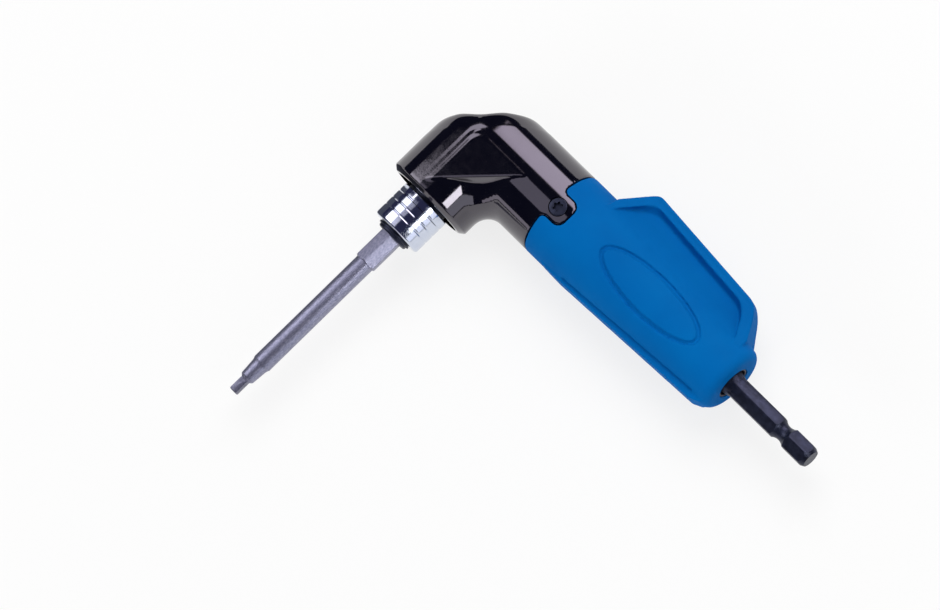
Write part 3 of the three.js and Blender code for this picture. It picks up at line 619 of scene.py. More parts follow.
def phosphated_bit():
    """Grey steel that is darker on the square tip."""
    finish = grey_steel(
        "bit_steel", (0.21, 0.212, 0.3), (0.34, 0.342, 0.45), low=0.36, high=0.48,
        streaks=(1, 0.5, 1), metallic=0.8, mottle=2400,
    )
    tip_shade, tip_start, tip_end = 0.6, -0.0944, -0.0956
    factor, first, second, result = 0, 6, 7, 2  # the colour mix has several sockets of one name
    tree = finish.node_tree
    shader = tree.nodes["Principled BSDF"]
    colour = shader.inputs["Base Color"].links[0].from_socket
    spot = add_node(tree, "ShaderNodeTexCoord")
    parts = add_node(tree, "ShaderNodeSeparateXYZ")
    share = add_node(tree, "ShaderNodeMapRange", From_Min=tip_start, From_Max=tip_end)
    shaded = add_node(tree, "ShaderNodeMix", data_type="RGBA", blend_type="MULTIPLY")
    shaded.inputs[second].default_value = (tip_shade, tip_shade, tip_shade, 1)
    tree.links.new(spot.outputs["Object"], parts.inputs["Vector"])
    tree.links.new(parts.outputs["Y"], share.inputs["Value"])
    tree.links.new(share.outputs["Result"], shaded.inputs[factor])
    tree.links.new(colour, shaded.inputs[first])
    tree.links.new(shaded.outputs[result], shader.inputs["Base Color"])
    return finish


finishes = {
    "black_paint": coated_casting(),
    "blue_plastic": moulded_blue(),
    "black_steel": black_oxide(),
    "chrome": turned_chrome(),
    "bit_steel": phosphated_bit(),
    "plain_steel": grey_steel("plain_steel", (0.5, 0.5, 0.52), (0.6, 0.6, 0.62), low=0.25, high=0.35),
    "bronze": grey_steel("bronze", (0.42, 0.27, 0.11), (0.55, 0.37, 0.17), low=0.4, high=0.5),
}
for row in frame["record"]["subparts"]:
    node = frame["nodes"][row["node"]]
    node.data.materials.clear()
    node.data.materials.append(finishes[row["material_slot"]])


# Gear head

def tab_cutter(gap):
    """The tab over the handle, right through the tool; with a gap it is the notch that takes it."""
    half, start, end = TAB_HALF + gap, SEAM_AT + gap, TAB_END + gap
    corner, root = TAB_CORNER + gap, TAB_ROOT - gap
    side = [(start - PAST, half + root)]
    side += arc((start + root, half + root), root, 180, 270, 6)
    side += arc((end - corner, half - corner), corner, 90, 0, 8)
    points = side + [(x, -y) for x, y in reversed(side)]
    return slab([(x, y, -THROUGH / 2) for x, y in points], (0, 0, THROUGH))


def mitred(tube, normal):
    """Cuts a tube on the slant and leaves the cut open."""
    cut_off(tube, (0, 0, 0), normal)
    open_mesh(tube)
    pick(tube, "FACE", lambda face: face.normal.dot(Vector(normal).normalized()) > 0.999)
    bpy.ops.mesh.delete(type="FACE")
    bpy.ops.object.mode_set(mode="OBJECT")
    return tube


def elbow():
    """Two tubes that meet on the slant, with both creases rounded and the outer corner cut off."""
    neck = rod(HEAD_R, TUBE_BACK, SEAM_AT, "X", sides=96)
    lip = [(HEAD_R, MOUTH_AT - LIP_DEEP), (HEAD_R - LIP_WIDE, MOUTH_AT)]
    nose = turn([(0, TUBE_BACK), (HEAD_R, TUBE_BACK)] + lip + [(0, MOUTH_AT)], "Y", sides=96)
    body = joined([mitred(neck, (-1, -1, 0)), mitred(nose, (1, 1, 0))])
    close_mesh(body)
    open_mesh(body)
    for side, width in ((1, CROTCH_ROUND), (-1, CORNER_ROUND)):
        def crease(edge):
            middle = (edge.verts[0].co + edge.verts[1].co) / 2
            return abs(middle.x + middle.y) < NEAR and side * middle.x > CREASE_CLEAR * HEAD_R

        pick(body, "EDGE", crease)
        bpy.ops.mesh.bevel(offset=width, offset_type="OFFSET", segments=8, clamp_overlap=False)
    corner = CORNER_CUT / math.sqrt(2)
    cut_off(body, (-corner, corner, 0), (-1, 1, 0))
    return body


def cheek_outline(edge, base, z):
    """A triangle with two legs along the tubes and its long side at a distance from the corner."""
    middle, leg = edge + CHEEK_ROUND, base - edge
    points = [(leg, -edge)] + arc((middle, -middle), CHEEK_ROUND, 90, 180, 9) + [(edge, -leg)]
    return [(x, y, z) for x, y in points]


def cheek(side):
    """Flat triangular cheek: a soft slope along both legs, a steep facet under the long edge."""
    slope = (CHEEK_FLARED_BASE - CHEEK_BASE) / CHEEK_DROP
    shoulder = CHEEK_Z - CHEEK_STEP
    return bridged([
        cheek_outline(CHEEK_FOOT, CHEEK_FLARED_BASE, 0),
        cheek_outline(CHEEK_FOOT, CHEEK_FLARED_BASE, side * (CHEEK_Z - CHEEK_DROP)),
        cheek_outline(CHEEK_FOOT, CHEEK_BASE + slope * CHEEK_STEP, side * shoulder),
        cheek_outline(CHEEK_EDGE, CHEEK_BASE, side * CHEEK_Z),
    ])


def on_outer_corner(spot):
    return (spot.y > CORNER_LEG or spot.x < -CORNER_LEG) and spot.y - spot.x > CORNER_SOFT


def head_rooms():
    """Cutters for the gears and bearings, the nose's ring slot and mouth, and the spindle's tail."""
    room = [
        (0, GEAR_ROOM_AT), (GEAR_ROOM_R, GEAR_ROOM_AT), (GEAR_ROOM_R, BEARING_AT), (BEARING_R, BEARING_AT),
        (BEARING_R, BEARING_END),
    ]
    neck_end, nose_end = TAB_END + PAST, MOUTH_AT + PAST
    spigot_room = [(SPIGOT_ROOM_R, BEARING_END), (SPIGOT_ROOM_R, neck_end), (0, neck_end)]
    nose_room = [
        (NOSE_SLOT_R, BEARING_END), (NOSE_SLOT_R, RING_SLOT_END), (BEARING_R, RING_SLOT_END),
        (BEARING_R, MOUTH_STEP), (MOUTH_R, MOUTH_STEP), (MOUTH_R, nose_end), (0, nose_end),
    ]
    return (
        turn(room + spigot_room, "X", sides=72),
        turn(room + nose_room, "Y", sides=96),
        rod(TAIL_ROOM_R, TAIL_ROOM_AT, GEAR_ROOM_AT + PAST, "Y", sides=32),
    )


def screw_seat(side):
    seat = turn([
        (0, SCREW_HOLE_FROM), (SCREW_HOLE_R, SCREW_HOLE_FROM), (SCREW_HOLE_R, SCREW_SEAT_Z),
        (SCREW_SEAT_R, SCREW_SEAT_Z), (SCREW_SEAT_R, SCREW_HOLE_TO), (0, SCREW_HOLE_TO),
    ], "Z", sides=40)
    seat.location.x = SCREW_AT
    seat.rotation_euler.x = 0 if side > 0 else math.pi
    fix_place(seat)
    return seat


def gear_head():
    body = elbow()
    for side in (1, -1):
        combine(body, cheek(side), "UNION")
    round_stock = rod(HEAD_R, SEAM_AT - PAST, TAB_END, "X", sides=96)
    combine(body, combine(tab_cutter(0), round_stock, "INTERSECT"), "UNION")
    even_skin(body, voxel=0.3, passes=4)
    soften_where(body, on_outer_corner, CORNER_PASSES)
    (out, up), (inwards, down) = CORNER_PRESS_AT, CORNER_PRESS_BY
    for side in (1, -1):
        press_in(body, (-out, out, up * side), (inwards, -inwards, -down * side), CORNER_PRESS_REACH)
    for room in head_rooms():
        combine(body, room, "DIFFERENCE")
    for side in (1, -1):
        combine(body, screw_seat(side), "DIFFERENCE")
    return body


# Handle

def smooth_min(a, b, blend):
    overlap = max(blend - abs(a - b), 0) / blend
    return min(a, b) - overlap * overlap * blend / 4


def line_height(line, x, inset):
    """A slanting line's distance from the axis, drawn in by an inset."""
    place, height, slope = line
    return height + slope * (x - place) - inset * math.hypot(1, slope)


def wing_edge(x, rim=(0, 0, 0)):
    """The wing's edge from the axis, drawn in by a rim's widths at the front, outside and rear."""
    lines = zip((WING_FRONT, WING_OUTER, WING_REAR), rim)
    ahead, along, behind = [line_height(line, x, inset) for line, inset in lines]
    return smooth_min(smooth_min(ahead, along, WING_FRONT_BLEND), behind, WING_REAR_BLEND)


def barrel_radius(x):
    share = min(max((x - TAPER_START) / (TAPER_END - TAPER_START), 0), 1)
    return HEAD_R + (BOSS_R - HEAD_R) * share


def barrel(inset=0.0):
    start, radius = HANDLE_START, HEAD_R - inset
    end = arc((BOSS_R - BOSS_ROUND, TAPER_END), BOSS_ROUND - inset, 0, 90, 6)
    profile = [(0, start), (radius, start), (radius, TAPER_START)] + end + [(0, HANDLE_END - inset)]
    return turn(profile, "X", sides=96)


def wing():
    """The wing: flanks that taper from the barrel to a rounded edge."""
    (y, z), (far_y, far_z) = FLANK_ROOT_FRONT, FLANK_ROOT_REAR
    upper = [(WING_ROOT, z), (y, z), (FLANK_EDGE_FRONT, WING_HALF), (WING_STOCK, WING_HALF)]
    section = upper + [(a, -b) for a, b in reversed(upper)]
    piece = draw([(TAPER_START, a, b) for a, b in section])
    bpy.ops.mesh.edge_face_add()
    pull((TAPER_END - TAPER_START, 0, 0))
    moves = (
        (WING_ROOT, 0, far_z / z),
        (y, far_y - y, far_z / z),
        (FLANK_EDGE_FRONT, FLANK_EDGE_REAR - FLANK_EDGE_FRONT, 1),
    )
    for place, out, lower in moves:
        pick(piece, "VERT", lambda p: p.co.x > TAPER_END - PAST and abs(p.co.y - place) < NEAR)
        bpy.ops.transform.resize(value=(1, 1, lower), center_override=(TAPER_END, 0, 0))
        bpy.ops.transform.translate(value=(0, out, 0))
    close_mesh(piece)
    edge = [(x, wing_edge(x)) for x in even_steps(WING_START, WING_END, 60)]
    plan = [(x, y, -THROUGH / 2) for x, y in [(WING_START, 0)] + edge + [(WING_END, 0)]]
    return combine(piece, slab(plan, (0, 0, THROUGH)), "INTERSECT")


def pocket_outline(rim, z):
    inside = [x for x in even_steps(WING_START, WING_END, 400) if wing_edge(x, rim) > POCKET_LOW]
    first, last = inside[0], inside[-1]
    edge = [(x, wing_edge(x, rim), z) for x in even_steps(first, last, 40)]
    return [(first, POCKET_ROOT, z)] + edge + [(last, POCKET_ROOT, z)]


def pocket_walls(side):
    """Walls that are steep under the rim and run out into the pocket's floor."""
    levels = []
    for inset, z in POCKET_WALL:
        rim = [width + lean * inset for width, lean in zip(POCKET_RIM, POCKET_LEAN)]
        levels.append(pocket_outline(rim, side * z))
    return bridged(levels)


def pocket(side):
    """What is scooped out of one flank of the wing, inside its rim."""
    y, z = FLANK_ROOT_FRONT
    floor = []
    for t in even_steps(0, 1, 14):
        fall = 3 * t * t - 2 * t ** 3
        bend = POCKET_RUN * t * (1 - t) * (y / z * (t - 1) - POCKET_END_SLOPE * t)
        floor.append((y + POCKET_RUN * t, z + (POCKET_WEB - z) * fall + bend))
    beyond = floor[-1][0] + POCKET_PAST
    section = floor + [(beyond, POCKET_WEB), (beyond, POCKET_TOP), (y, POCKET_TOP)]
    piece = draw([(TAPER_START, a, side * b) for a, b in section])
    bpy.ops.mesh.edge_face_add()
    pull((TAPER_END - TAPER_START, 0, 0))
    scale = BOSS_R / HEAD_R
    bpy.ops.transform.resize(value=(1, scale, scale), center_override=(TAPER_END, 0, 0))
    close_mesh(piece)
    return combine(piece, pocket_walls(side), "INTERSECT")


def ridge():
    outline = ((RIDGE_LINE[0][0], RIDGE_ROOT), *RIDGE_LINE, (RIDGE_END, RIDGE_ROOT))
    return slab([(x, y, -RIDGE_HALF) for x, y in outline], (0, 0, 2 * RIDGE_HALF))


def side_line(side):
    """Cutter for the line along one side of the ridge."""
    line = slab([(x, y, side * SIDE_LINE_Z) for x, y in SIDE_LINE], (0, 0, side * SIDE_LINE_WIDE))
    return combine(line, barrel(SIDE_LINE_DEEP), "DIFFERENCE")


def oval(inset, low, high):
    (x, y), (half_length, half_width) = OVAL_AT, OVAL_HALF
    points = arc((0, 0), 1, 0, 360, 48)[:-1]
    outline = [(x + (half_length - inset) * u, y + (half_width - inset) * v, low) for u, v in points]
    return slab(outline, (0, 0, high - low))


def oval_line():
    """Cutter for the line round the bare oval."""
    line = oval(0, OVAL_FROM, OVAL_TO)
    combine(line, oval(OVAL_LINE_WIDE, OVAL_FROM - PAST, OVAL_TO + PAST), "DIFFERENCE")
    return combine(line, barrel(OVAL_LINE_DEEP), "DIFFERENCE")


def on_wing_rim(spot):
    return spot.y > RIM_SHARE * barrel_radius(spot.x) and RIM_FROM < spot.x < RIM_TO


def handle_bore():
    return turn([
        (0, BORE_AT), (BORE_R, BORE_AT), (BORE_R, BORE_END), (END_HOLE_R, BORE_END),
        (END_HOLE_R, END_HOLE_END), (0, END_HOLE_END),
    ], "X", sides=72)


def screw_hole():
    hole = turn([(SCREW_HOLE_R, -SCREW_HOLE_TO), (SCREW_HOLE_R, SCREW_HOLE_TO)], "Z", sides=24)
    fill_ends(hole)
    hole.location.x = SCREW_AT
    fix_place(hole)
    return hole


def handle():
    body = barrel()
    fin = wing()
    for side in (1, -1):
        combine(fin, pocket(side), "DIFFERENCE")
    combine(body, fin, "UNION")
    for side in (1, -1):
        combine(body, side_line(side), "DIFFERENCE")
    combine(body, ridge(), "UNION")
    combine(body, oval_line(), "DIFFERENCE")
    even_skin(body, voxel=0.33, passes=3)
    soften_where(body, on_wing_rim, passes=3)
    notch = combine(tab_cutter(NOTCH_GAP), rod(SPIGOT_R, *NOTCH_CORE, "X", sides=72), "DIFFERENCE")
    combine(body, notch, "DIFFERENCE")
    combine(body, rod(SPIGOT_R, SPIGOT_AT, SPIGOT_END, "X", sides=72), "UNION")
    combine(body, handle_bore(), "DIFFERENCE")
    combine(body, screw_hole(), "DIFFERENCE")
    return body


# Screws, shank and bush

def screw():
    crown = arc((SCREW_HEAD_R - SCREW_CROWN, SCREW_EDGE_Z), SCREW_CROWN, 0, 90, 4)
    piece = turn([
        (0, SCREW_TIP_Z), (SCREW_TIP_R, SCREW_TIP_Z), (SCREW_R, SCREW_TIP_Z + SCREW_LEAD),
        (SCREW_R, SCREW_HEAD_Z), (SCREW_HEAD_R, SCREW_HEAD_Z), *crown, (0, SCREW_TOP_Z),
    ], "Z", sides=60)
    lobes = []
    for angle in even_steps(0, math.tau, 72)[:-1]:
        radius = LOBE_R + LOBE_DEEP * math.cos(LOBES * angle)
        lobes.append((radius * math.cos(angle), radius * math.sin(angle), SOCKET_FLOOR_Z))
    combine(piece, slab(lobes, (0, 0, 2 * PAST)), "DIFFERENCE")
    piece.location.x = SCREW_AT
    fix_place(piece)
    return piece


def turned_over(piece):
    """A copy of a piece, turned to the tool's other side."""
    hold(piece)
    bpy.ops.object.duplicate()
    copy = bpy.context.object
    copy.rotation_euler.x = math.pi
    fix_place(copy)
    return copy


def hexagon(corner, start, end, along, angle):
    """A hexagon bar along a shaft, turned by an angle about it."""
    start_clear()
    bpy.ops.mesh.primitive_cylinder_add(vertices=6, radius=corner, depth=end - start)
    piece = bpy.context.object
    piece.rotation_euler = (0, math.pi / 2, 0) if along == "X" else (math.pi / 2, 0, 0)
    fix_place(piece)
    open_mesh(piece)
    middle = (start + end) / 2
    bpy.ops.transform.translate(value=(middle, 0, 0) if along == "X" else (0, -middle, 0))
    bpy.ops.object.mode_set(mode="OBJECT")
    piece.rotation_euler = Matrix.Rotation(angle, 4, along).to_euler()
    fix_place(piece)
    return piece


def input_shaft():
    shaft = turn([
        (0, GEAR_SEAT_AT), (GEAR_SEAT_R - SHAFT_LEAD, GEAR_SEAT_AT), (GEAR_SEAT_R, GEAR_SEAT_AT + SHAFT_LEAD),
        (GEAR_SEAT_R, SHOULDER_AT), (JOURNAL_R, SHOULDER_AT), (JOURNAL_R, BEARING_END),
        (SLOT_FLOOR_R, BEARING_END), (SLOT_FLOOR_R, RING_SLOT_END), (JOURNAL_R, RING_SLOT_END),
        (JOURNAL_R, SHAFT_STEP), (SHAFT_R, SHAFT_STEP), *SHAFT_TAPER, (0, SHAFT_TAPER[-1][1]),
    ], "X", sides=64)
    groove_at = (SHANK_END - SHANK_GROOVE_BACK, SHANK_GROOVE_R + SHANK_GROOVE_ROUND)
    groove = arc(groove_at, SHANK_GROOVE_ROUND, *SHANK_GROOVE_SWEEP, 16)
    envelope = turn([
        (0, SHANK_ROOT), (HEX_CLEAR_R, SHANK_ROOT), *[(radius, place) for place, radius in groove],
        (HEX_CLEAR_R, SHANK_END - SHANK_CHAMFER), (SHANK_END_R, SHANK_END), (0, SHANK_END),
    ], "X", sides=72)
    bar = hexagon(HEX_CORNER, SHANK_ROOT + PAST / 2, SHANK_END + PAST, "X", math.pi / 2)
    break_edges(bar, HEX_BROKEN)
    combine(bar, envelope, "INTERSECT")
    return combine(shaft, bar, "UNION")


def rear_bush():
    lip = arc(BUSH_LIP, BUSH_LIP_ROUND, 0, 180, 6)
    return turn([
        (BUSH_BORE_R, BUSH_AT), (BUSH_R, BUSH_AT), (BUSH_R, BUSH_STEP), (lip[0][0], BUSH_STEP), *lip,
        (BUSH_BORE_R, BUSH_END),
    ], "X", sides=64, closed=True)


# Spindle, collar and bit

def output_spindle():
    slot_start, slot_end = SNAP_SLOT
    body = turn([
        (0, TAIL_AT), (TAIL_R, TAIL_AT), (TAIL_R, GEAR_SEAT_AT), (GEAR_SEAT_R, GEAR_SEAT_AT),
        (GEAR_SEAT_R, SHOULDER_AT), (JOURNAL_R, SHOULDER_AT), (JOURNAL_R, FLANGE_AT), (FLANGE_R, FLANGE_AT),
        (FLANGE_R, FLANGE_END), (JOURNAL_R, FLANGE_END), (JOURNAL_R, slot_start), (SLOT_FLOOR_R, slot_start),
        (SLOT_FLOOR_R, slot_end), (JOURNAL_R, slot_end), *SPINDLE_EDGE, (0, SPINDLE_END),
    ], "Y", sides=72)
    combine(body, hexagon(BIT_SOCKET_CORNER, *BIT_SOCKET, "Y", math.pi / 2 - BIT_TURN), "DIFFERENCE")
    (_, start), (_, end) = BIT_SOCKET_CHAMFER
    mouth = turn([(0, start), *BIT_SOCKET_CHAMFER, (0, end)], "Y", sides=48)
    return combine(body, mouth, "DIFFERENCE")


def quick_change_collar():
    front = COLLAR_FRONT - COLLAR_FRONT_ROUND
    back = COLLAR_BACK + COLLAR_BACK_ROUND
    ramp_start, ramp_end = BALL_RAMP
    outer = arc((COLLAR_R - COLLAR_FRONT_ROUND, front), COLLAR_FRONT_ROUND, 90, 0, 7)
    for middle in COLLAR_GROOVES:
        outer += [(radius, middle + out) for radius, out in COLLAR_GROOVE_SIDE]
        outer += [(radius, middle - out) for radius, out in reversed(COLLAR_GROOVE_SIDE)]
    outer += arc((COLLAR_R - COLLAR_BACK_ROUND, back), COLLAR_BACK_ROUND, 0, -90, 4)
    inner = [
        (SPRING_ROOM_R, COLLAR_BACK), (SPRING_ROOM_R, SPRING_ROOM_END), (COLLAR_BORE_R, SPRING_ROOM_END),
        (COLLAR_BORE_R, ramp_start), (BALL_ROOM_R, ramp_end), (BALL_ROOM_R, BALL_ROOM_END),
        (COLLAR_BORE_R, BALL_ROOM_END),
    ]
    edge = [
        (COLLAR_BORE_R, COLLAR_FRONT - COLLAR_BORE_EDGE), (COLLAR_BORE_R + COLLAR_BORE_EDGE, COLLAR_FRONT),
    ]
    return turn(edge + outer + inner, "Y", sides=128, closed=True)


def snap_ring():
    """A ring that is open at one place."""
    back, front = SNAP_RING
    rim_r = SNAP_RING_R - SNAP_RING_ROUND
    profile = [(SNAP_RING_BORE_R, front), (SNAP_RING_BORE_R, back)]
    profile += arc((rim_r, back + SNAP_RING_ROUND), SNAP_RING_ROUND, -90, 0, 3)
    profile += arc((rim_r, front - SNAP_RING_ROUND), SNAP_RING_ROUND, 0, 90, 3)
    piece = draw([(radius, -place, 0) for radius, place in profile + profile[:1]])
    bpy.ops.mesh.remove_doubles(threshold=MERGE)
    bpy.ops.mesh.spin(steps=84, angle=math.tau - SNAP_RING_GAP, center=(0, 0, 0), axis=(0, 1, 0))
    fill_ends(piece)
    return piece


def square_tip():
    start_clear()
    middle = (SQUARE_AT + BIT_END) / 2
    size = (SQUARE, BIT_END - SQUARE_AT, SQUARE)
    bpy.ops.mesh.primitive_cube_add(size=1, location=(0, -middle, 0), scale=size)
    tip = bpy.context.object
    fix_place(tip)
    open_mesh(tip)
    pick(tip, "FACE", lambda face: face.normal.y < -0.9)
    bpy.ops.mesh.bevel(offset=SQUARE_CHAMFER, offset_type="OFFSET", segments=2)
    close_mesh(tip)
    break_edges(tip, SQUARE_BROKEN)
    return tip


def square_bit():
    envelope = turn([
        (0, BIT_BACK[0][1]), *BIT_BACK, *BIT_GROOVE, *BIT_SHOULDER, (0, BIT_SHOULDER[-1][1]),
    ], "Y", sides=72)
    bar = hexagon(HEX_CORNER, *BIT_HEX, "Y", math.pi / 2 - BIT_TURN)
    break_edges(bar, HEX_BROKEN)
    combine(bar, envelope, "INTERSECT")
    shaft = turn([
        (0, BIT_SHAFT_AT), (BIT_SHAFT_R, BIT_SHAFT_AT), *BIT_NECK, *BIT_CONE, (0, BIT_CONE[-1][1]),
    ], "Y", sides=64)
    combine(shaft, square_tip(), "UNION")
    return combine(bar, shaft, "UNION")


def collar_spring():
    start_clear()
    bpy.ops.mesh.primitive_circle_add(vertices=10, radius=WIRE_R, location=(SPRING_R, -SPRING_AT, 0))
    wire = bpy.context.object
    fix_place(wire)
    coil = wire.modifiers.new("coil", "SCREW")
    coil.axis = "Y"
    coil.angle = SPRING_TURNS * math.tau
    coil.screw_offset = -SPRING_LENGTH
    coil.steps = coil.render_steps = 90
    bpy.ops.object.modifier_apply(modifier=coil.name)
    fill_ends(wire)
    return wire


settle(gear_head(), "gear_head_casting", "housing", "black_paint", "gear_head")
settle(handle(), "winged_grip", "housing", "blue_plastic", "handle")
top_screw = screw()
bottom_screw = turned_over(top_screw)
settle(top_screw, "tab_screw_upper", "housing", "black_steel", "top_screw")
settle(bottom_screw, "tab_screw_lower", "housing", "black_steel", "bottom_screw")
settle(rear_bush(), "shaft_bush", "housing", "black_steel", "rear_bush")
settle(input_shaft(), "drive_shank", "input_train", "black_steel", "input_shaft", angle=25)
settle(output_spindle(), "bit_spindle", "output_train", "black_steel", "output_spindle")
settle(quick_change_collar(), "grooved_collar", "collar", "chrome", "quick_change_collar", angle=18)
settle(snap_ring(), "nose_snap_ring", "output_train", "black_steel", "snap_ring")
settle(square_bit(), "square_drive_bit", "output_train", "bit_steel", "square_bit", angle=25)
spring = settle(collar_spring(), "collar_return_spring", "output_train", "plain_steel", "collar_spring")
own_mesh(spring)


# Studio, in metres

STUDIO_X, STUDIO_Y = -0.07, -0.03
FLOOR_Z = cad_box[0][2] - 0.0002
FLOOR_SIZE = 12
CEILING_R = 1.5
CARD_DISTANCE = 1.2
CARD_EDGE_GLOW = 0.03
LAMP_DISTANCE = 1.2
LIT_SPOT = (-0.09, -0.02, 0)


def seen_directly(tree):
    """One where a ray comes from the camera, a shiny surface or a clear one, and zero elsewhere."""
    path = add_node(tree, "ShaderNodeLightPath")
    seen = add_node(tree, "ShaderNodeMath", operation="MAXIMUM")
    either = add_node(tree, "ShaderNodeMath", operation="MAXIMUM")
    tree.links.new(path.outputs["Is Camera Ray"], seen.inputs[0])
    tree.links.new(path.outputs["Is Glossy Ray"], seen.inputs[1])
    tree.links.new(seen.outputs["Value"], either.inputs[0])
    tree.links.new(path.outputs["Is Transmission Ray"], either.inputs[1])
    return either.outputs["Value"]


def glowing(name, colour, strength=1.0):
    return bare_finish(
        name, Roughness=1.0, Specular_IOR_Level=0.0, Base_Color=(0, 0, 0, 1),
        Emission_Color=(*colour, 1), Emission_Strength=strength,
    )


def seen_in_shine_only(card):
    for ray in ("camera", "diffuse", "transmission", "shadow", "volume_scatter"):
        setattr(card, f"visible_{ray}", False)


def softbox(name, along, lean, spread, start, end, colour, glow, fade):
    """A glowing card over the tool with two edges along one of its shafts.

    The card leans to the side and spreads by angles in degrees. Its start, end and fading edge are in metres.
    """
    angle, width = math.radians(lean), math.radians(spread)
    middle = (start + end) / 2
    up, out = math.cos(angle) * CARD_DISTANCE, math.sin(angle) * CARD_DISTANCE
    across = 2 * CARD_DISTANCE * math.tan(width / 2)
    start_clear()
    bpy.ops.mesh.primitive_plane_add(size=1)
    card = bpy.context.object
    card.name = name
    if along == "Y":
        card.location = (CROSSING[0] + out, middle, up)
        card.rotation_euler.y = angle
        card.scale = (across, end - start, 1)
    else:
        card.location = (middle, out, up)
        card.rotation_euler.x = -angle
        card.scale = (end - start, across, 1)
    finish, tree, shader = glowing(name, colour, glow)
    spot = add_node(tree, "ShaderNodeTexCoord")
    size = add_node(tree, "ShaderNodeVectorMath", operation="ABSOLUTE")
    to_edge = add_node(tree, "ShaderNodeVectorMath", operation="SUBTRACT")
    to_edge.inputs[0].default_value = (0.5, 0.5, 0)
    metres = add_node(tree, "ShaderNodeVectorMath", operation="MULTIPLY")
    metres.inputs[1].default_value = card.scale
    parts = add_node(tree, "ShaderNodeSeparateXYZ")
    nearest = add_node(tree, "ShaderNodeMath", operation="MINIMUM")
    edge = add_node(
        tree, "ShaderNodeMapRange", interpolation_type="SMOOTHSTEP",
        From_Max=fade, To_Min=CARD_EDGE_GLOW, To_Max=glow,
    )
    tree.links.new(spot.outputs["Object"], size.inputs[0])
    tree.links.new(size.outputs["Vector"], to_edge.inputs[1])
    tree.links.new(to_edge.outputs["Vector"], metres.inputs[0])
    tree.links.new(metres.outputs["Vector"], parts.inputs["Vector"])
    tree.links.new(parts.outputs["X"], nearest.inputs[0])
    tree.links.new(parts.outputs["Y"], nearest.inputs[1])
    tree.links.new(nearest.outputs["Value"], edge.inputs["Value"])
    tree.links.new(edge.outputs["Result"], shader.inputs["Emission Strength"])
    card.data.materials.append(finish)
    seen_in_shine_only(card)


def white_floor():
    """Paper that shows nearly white near the tool, with its shadow, and white further off."""
    start_clear()
    bpy.ops.mesh.primitive_plane_add(size=FLOOR_SIZE, location=(STUDIO_X, STUDIO_Y, FLOOR_Z))
    floor = bpy.context.object
    floor.name = "studio_floor"
    paper, tree, shader = bare_finish(
        "white_paper", Roughness=0.9, Specular_IOR_Level=0.0, Base_Color=(0.97, 0.97, 0.97, 1),
    )
    bright = add_node(tree, "ShaderNodeEmission", Color=(1, 1, 1, 1), Strength=1.0)
    spot = add_node(tree, "ShaderNodeTexCoord")
    away = add_node(tree, "ShaderNodeVectorMath", operation="LENGTH")
    whiter = add_node(tree, "ShaderNodeMapRange", From_Min=0.1, From_Max=0.5, To_Min=0.78)
    share = add_node(tree, "ShaderNodeMath", operation="MULTIPLY")
    both = add_node(tree, "ShaderNodeMixShader")
    tree.links.new(spot.outputs["Object"], away.inputs[0])
    tree.links.new(away.outputs["Value"], whiter.inputs["Value"])
    tree.links.new(seen_directly(tree), share.inputs[0])
    tree.links.new(whiter.outputs["Result"], share.inputs[1])
    tree.links.new(share.outputs["Value"], both.inputs[0])
    tree.links.new(shader.outputs["BSDF"], both.inputs[1])
    tree.links.new(bright.outputs["Emission"], both.inputs[2])
    tree.links.new(both.outputs["Shader"], tree.nodes["Material Output"].inputs["Surface"])
    floor.data.materials.append(paper)


def white_world():
    """White where it is seen, dimmer where it only lights the tool."""
    world = bpy.data.worlds.new("white_studio")
    bpy.context.scene.world = world
    world.use_nodes = True
    tree = world.node_tree
    sky = tree.nodes["Background"]
    sky.inputs["Color"].default_value = (1, 1, 1, 1)
    strength = add_node(tree, "ShaderNodeMapRange", To_Min=0.34, To_Max=1.0)
    tree.links.new(seen_directly(tree), strength.inputs["Value"])
    tree.links.new(strength.outputs["Result"], sky.inputs["Strength"])


def dark_ceiling():
    """A dark dome for the shiny pieces to reflect between the cards."""
    start_clear()
    bpy.ops.mesh.primitive_uv_sphere_add(
        segments=48, ring_count=24, radius=CEILING_R, location=(STUDIO_X, STUDIO_Y, 0),
    )
    ceiling = bpy.context.object
    ceiling.name = "studio_ceiling"
    open_mesh(ceiling)
    bpy.ops.mesh.bisect(plane_co=(0, 0, FLOOR_Z), plane_no=(0, 0, -1), clear_outer=True)
    bpy.ops.object.mode_set(mode="OBJECT")
    ceiling.data.materials.append(glowing("dark_ceiling", (0.022, 0.024, 0.06))[0])
    seen_in_shine_only(ceiling)


def dark_flag():
    """A dark card beside the collar and the bit, for them to reflect."""
    start_clear()
    bpy.ops.mesh.primitive_plane_add(size=1, location=(-0.1505, -0.067, -0.0036))
    flag = bpy.context.object
    flag.name = "dark_flag"
    flag.rotation_euler.y = math.pi / 2
    flag.scale = (0.0213, 0.086, 1)
    flag.data.materials.append(glowing("dark_flag", (0.08, 0.085, 0.11))[0])
    seen_in_shine_only(flag)


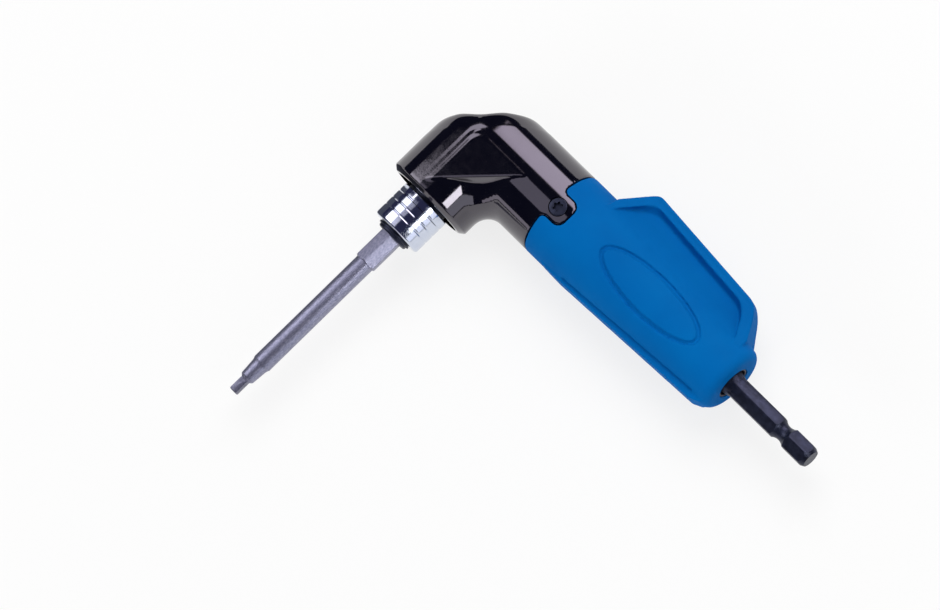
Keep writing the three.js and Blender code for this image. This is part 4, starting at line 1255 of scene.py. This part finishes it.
def lamp(name, way, size, power):
    way = Vector(way).normalized()
    bpy.ops.object.light_add(type="AREA", location=Vector(LIT_SPOT) + way * LAMP_DISTANCE)
    light = bpy.context.object
    light.name = name
    light.rotation_euler = way.to_track_quat("Z", "Y").to_euler()
    light.data.shape = "RECTANGLE"
    light.data.size, light.data.size_y = size
    light.data.energy = power
    light.visible_glossy = False


def camera():
    """The photograph's view: a long lens from above, tilted so that the tool lies on the slant."""
    right = Vector((0.6757, 0.71426, -0.18238))
    up = Vector((-0.66901, 0.69807, 0.25522))
    back = Vector((0.3096, -0.05044, 0.94953))
    bpy.ops.object.camera_add(location=(0.69405, -0.16553, 2.43915))
    view = bpy.context.object
    view.rotation_euler = Matrix((right, up, back)).transposed().to_euler()
    view.data.lens = 352.06
    view.data.sensor_width = 36
    bpy.context.scene.camera = view


def studio():
    bpy.context.scene.view_settings.view_transform = "Standard"
    white_floor()
    white_world()
    dark_ceiling()
    for card in (
        ("left_softbox", "Y", -43, 36, -0.7, 0.05, (0.95, 0.94, 1), 3.0, 0.006),
        ("left_strip", "Y", -35, 9, 0.052, 0.45, (0.93, 0.9, 1), 2.6, 0.02),
        ("left_bounce", "Y", -14.5, 21, -0.7, 0.038, (0.86, 0.84, 1), 0.9, 0.005),
        ("right_softbox", "Y", 53.5, 17, 0.0205, 0.4, (1, 1, 1), 9.0, 0.005),
        ("right_bounce", "Y", 76, 27, -0.7, 0.7, (0.88, 0.9, 1), 1.2, 0.05),
        ("back_softbox", "X", 49, 50, -0.64, 0.3, (0.95, 0.88, 1), 3.4, 0.12),
        ("front_bounce", "X", -84, 10, -1.3, 0.6, (0.95, 0.9, 1), 1.3, 0.02),
    ):
        softbox(*card)
    dark_flag()
    lamp("key_light", way=(-0.25, 0.45, 0.85), size=(0.9, 0.9), power=8.7)
    lamp("front_light", way=(-0.1, -0.92, 0.36), size=(0.9, 0.28), power=4.0)
    lamp("side_light", way=(0.8, 0.15, 0.6), size=(0.8, 0.9), power=2.4)
    camera()


studio()
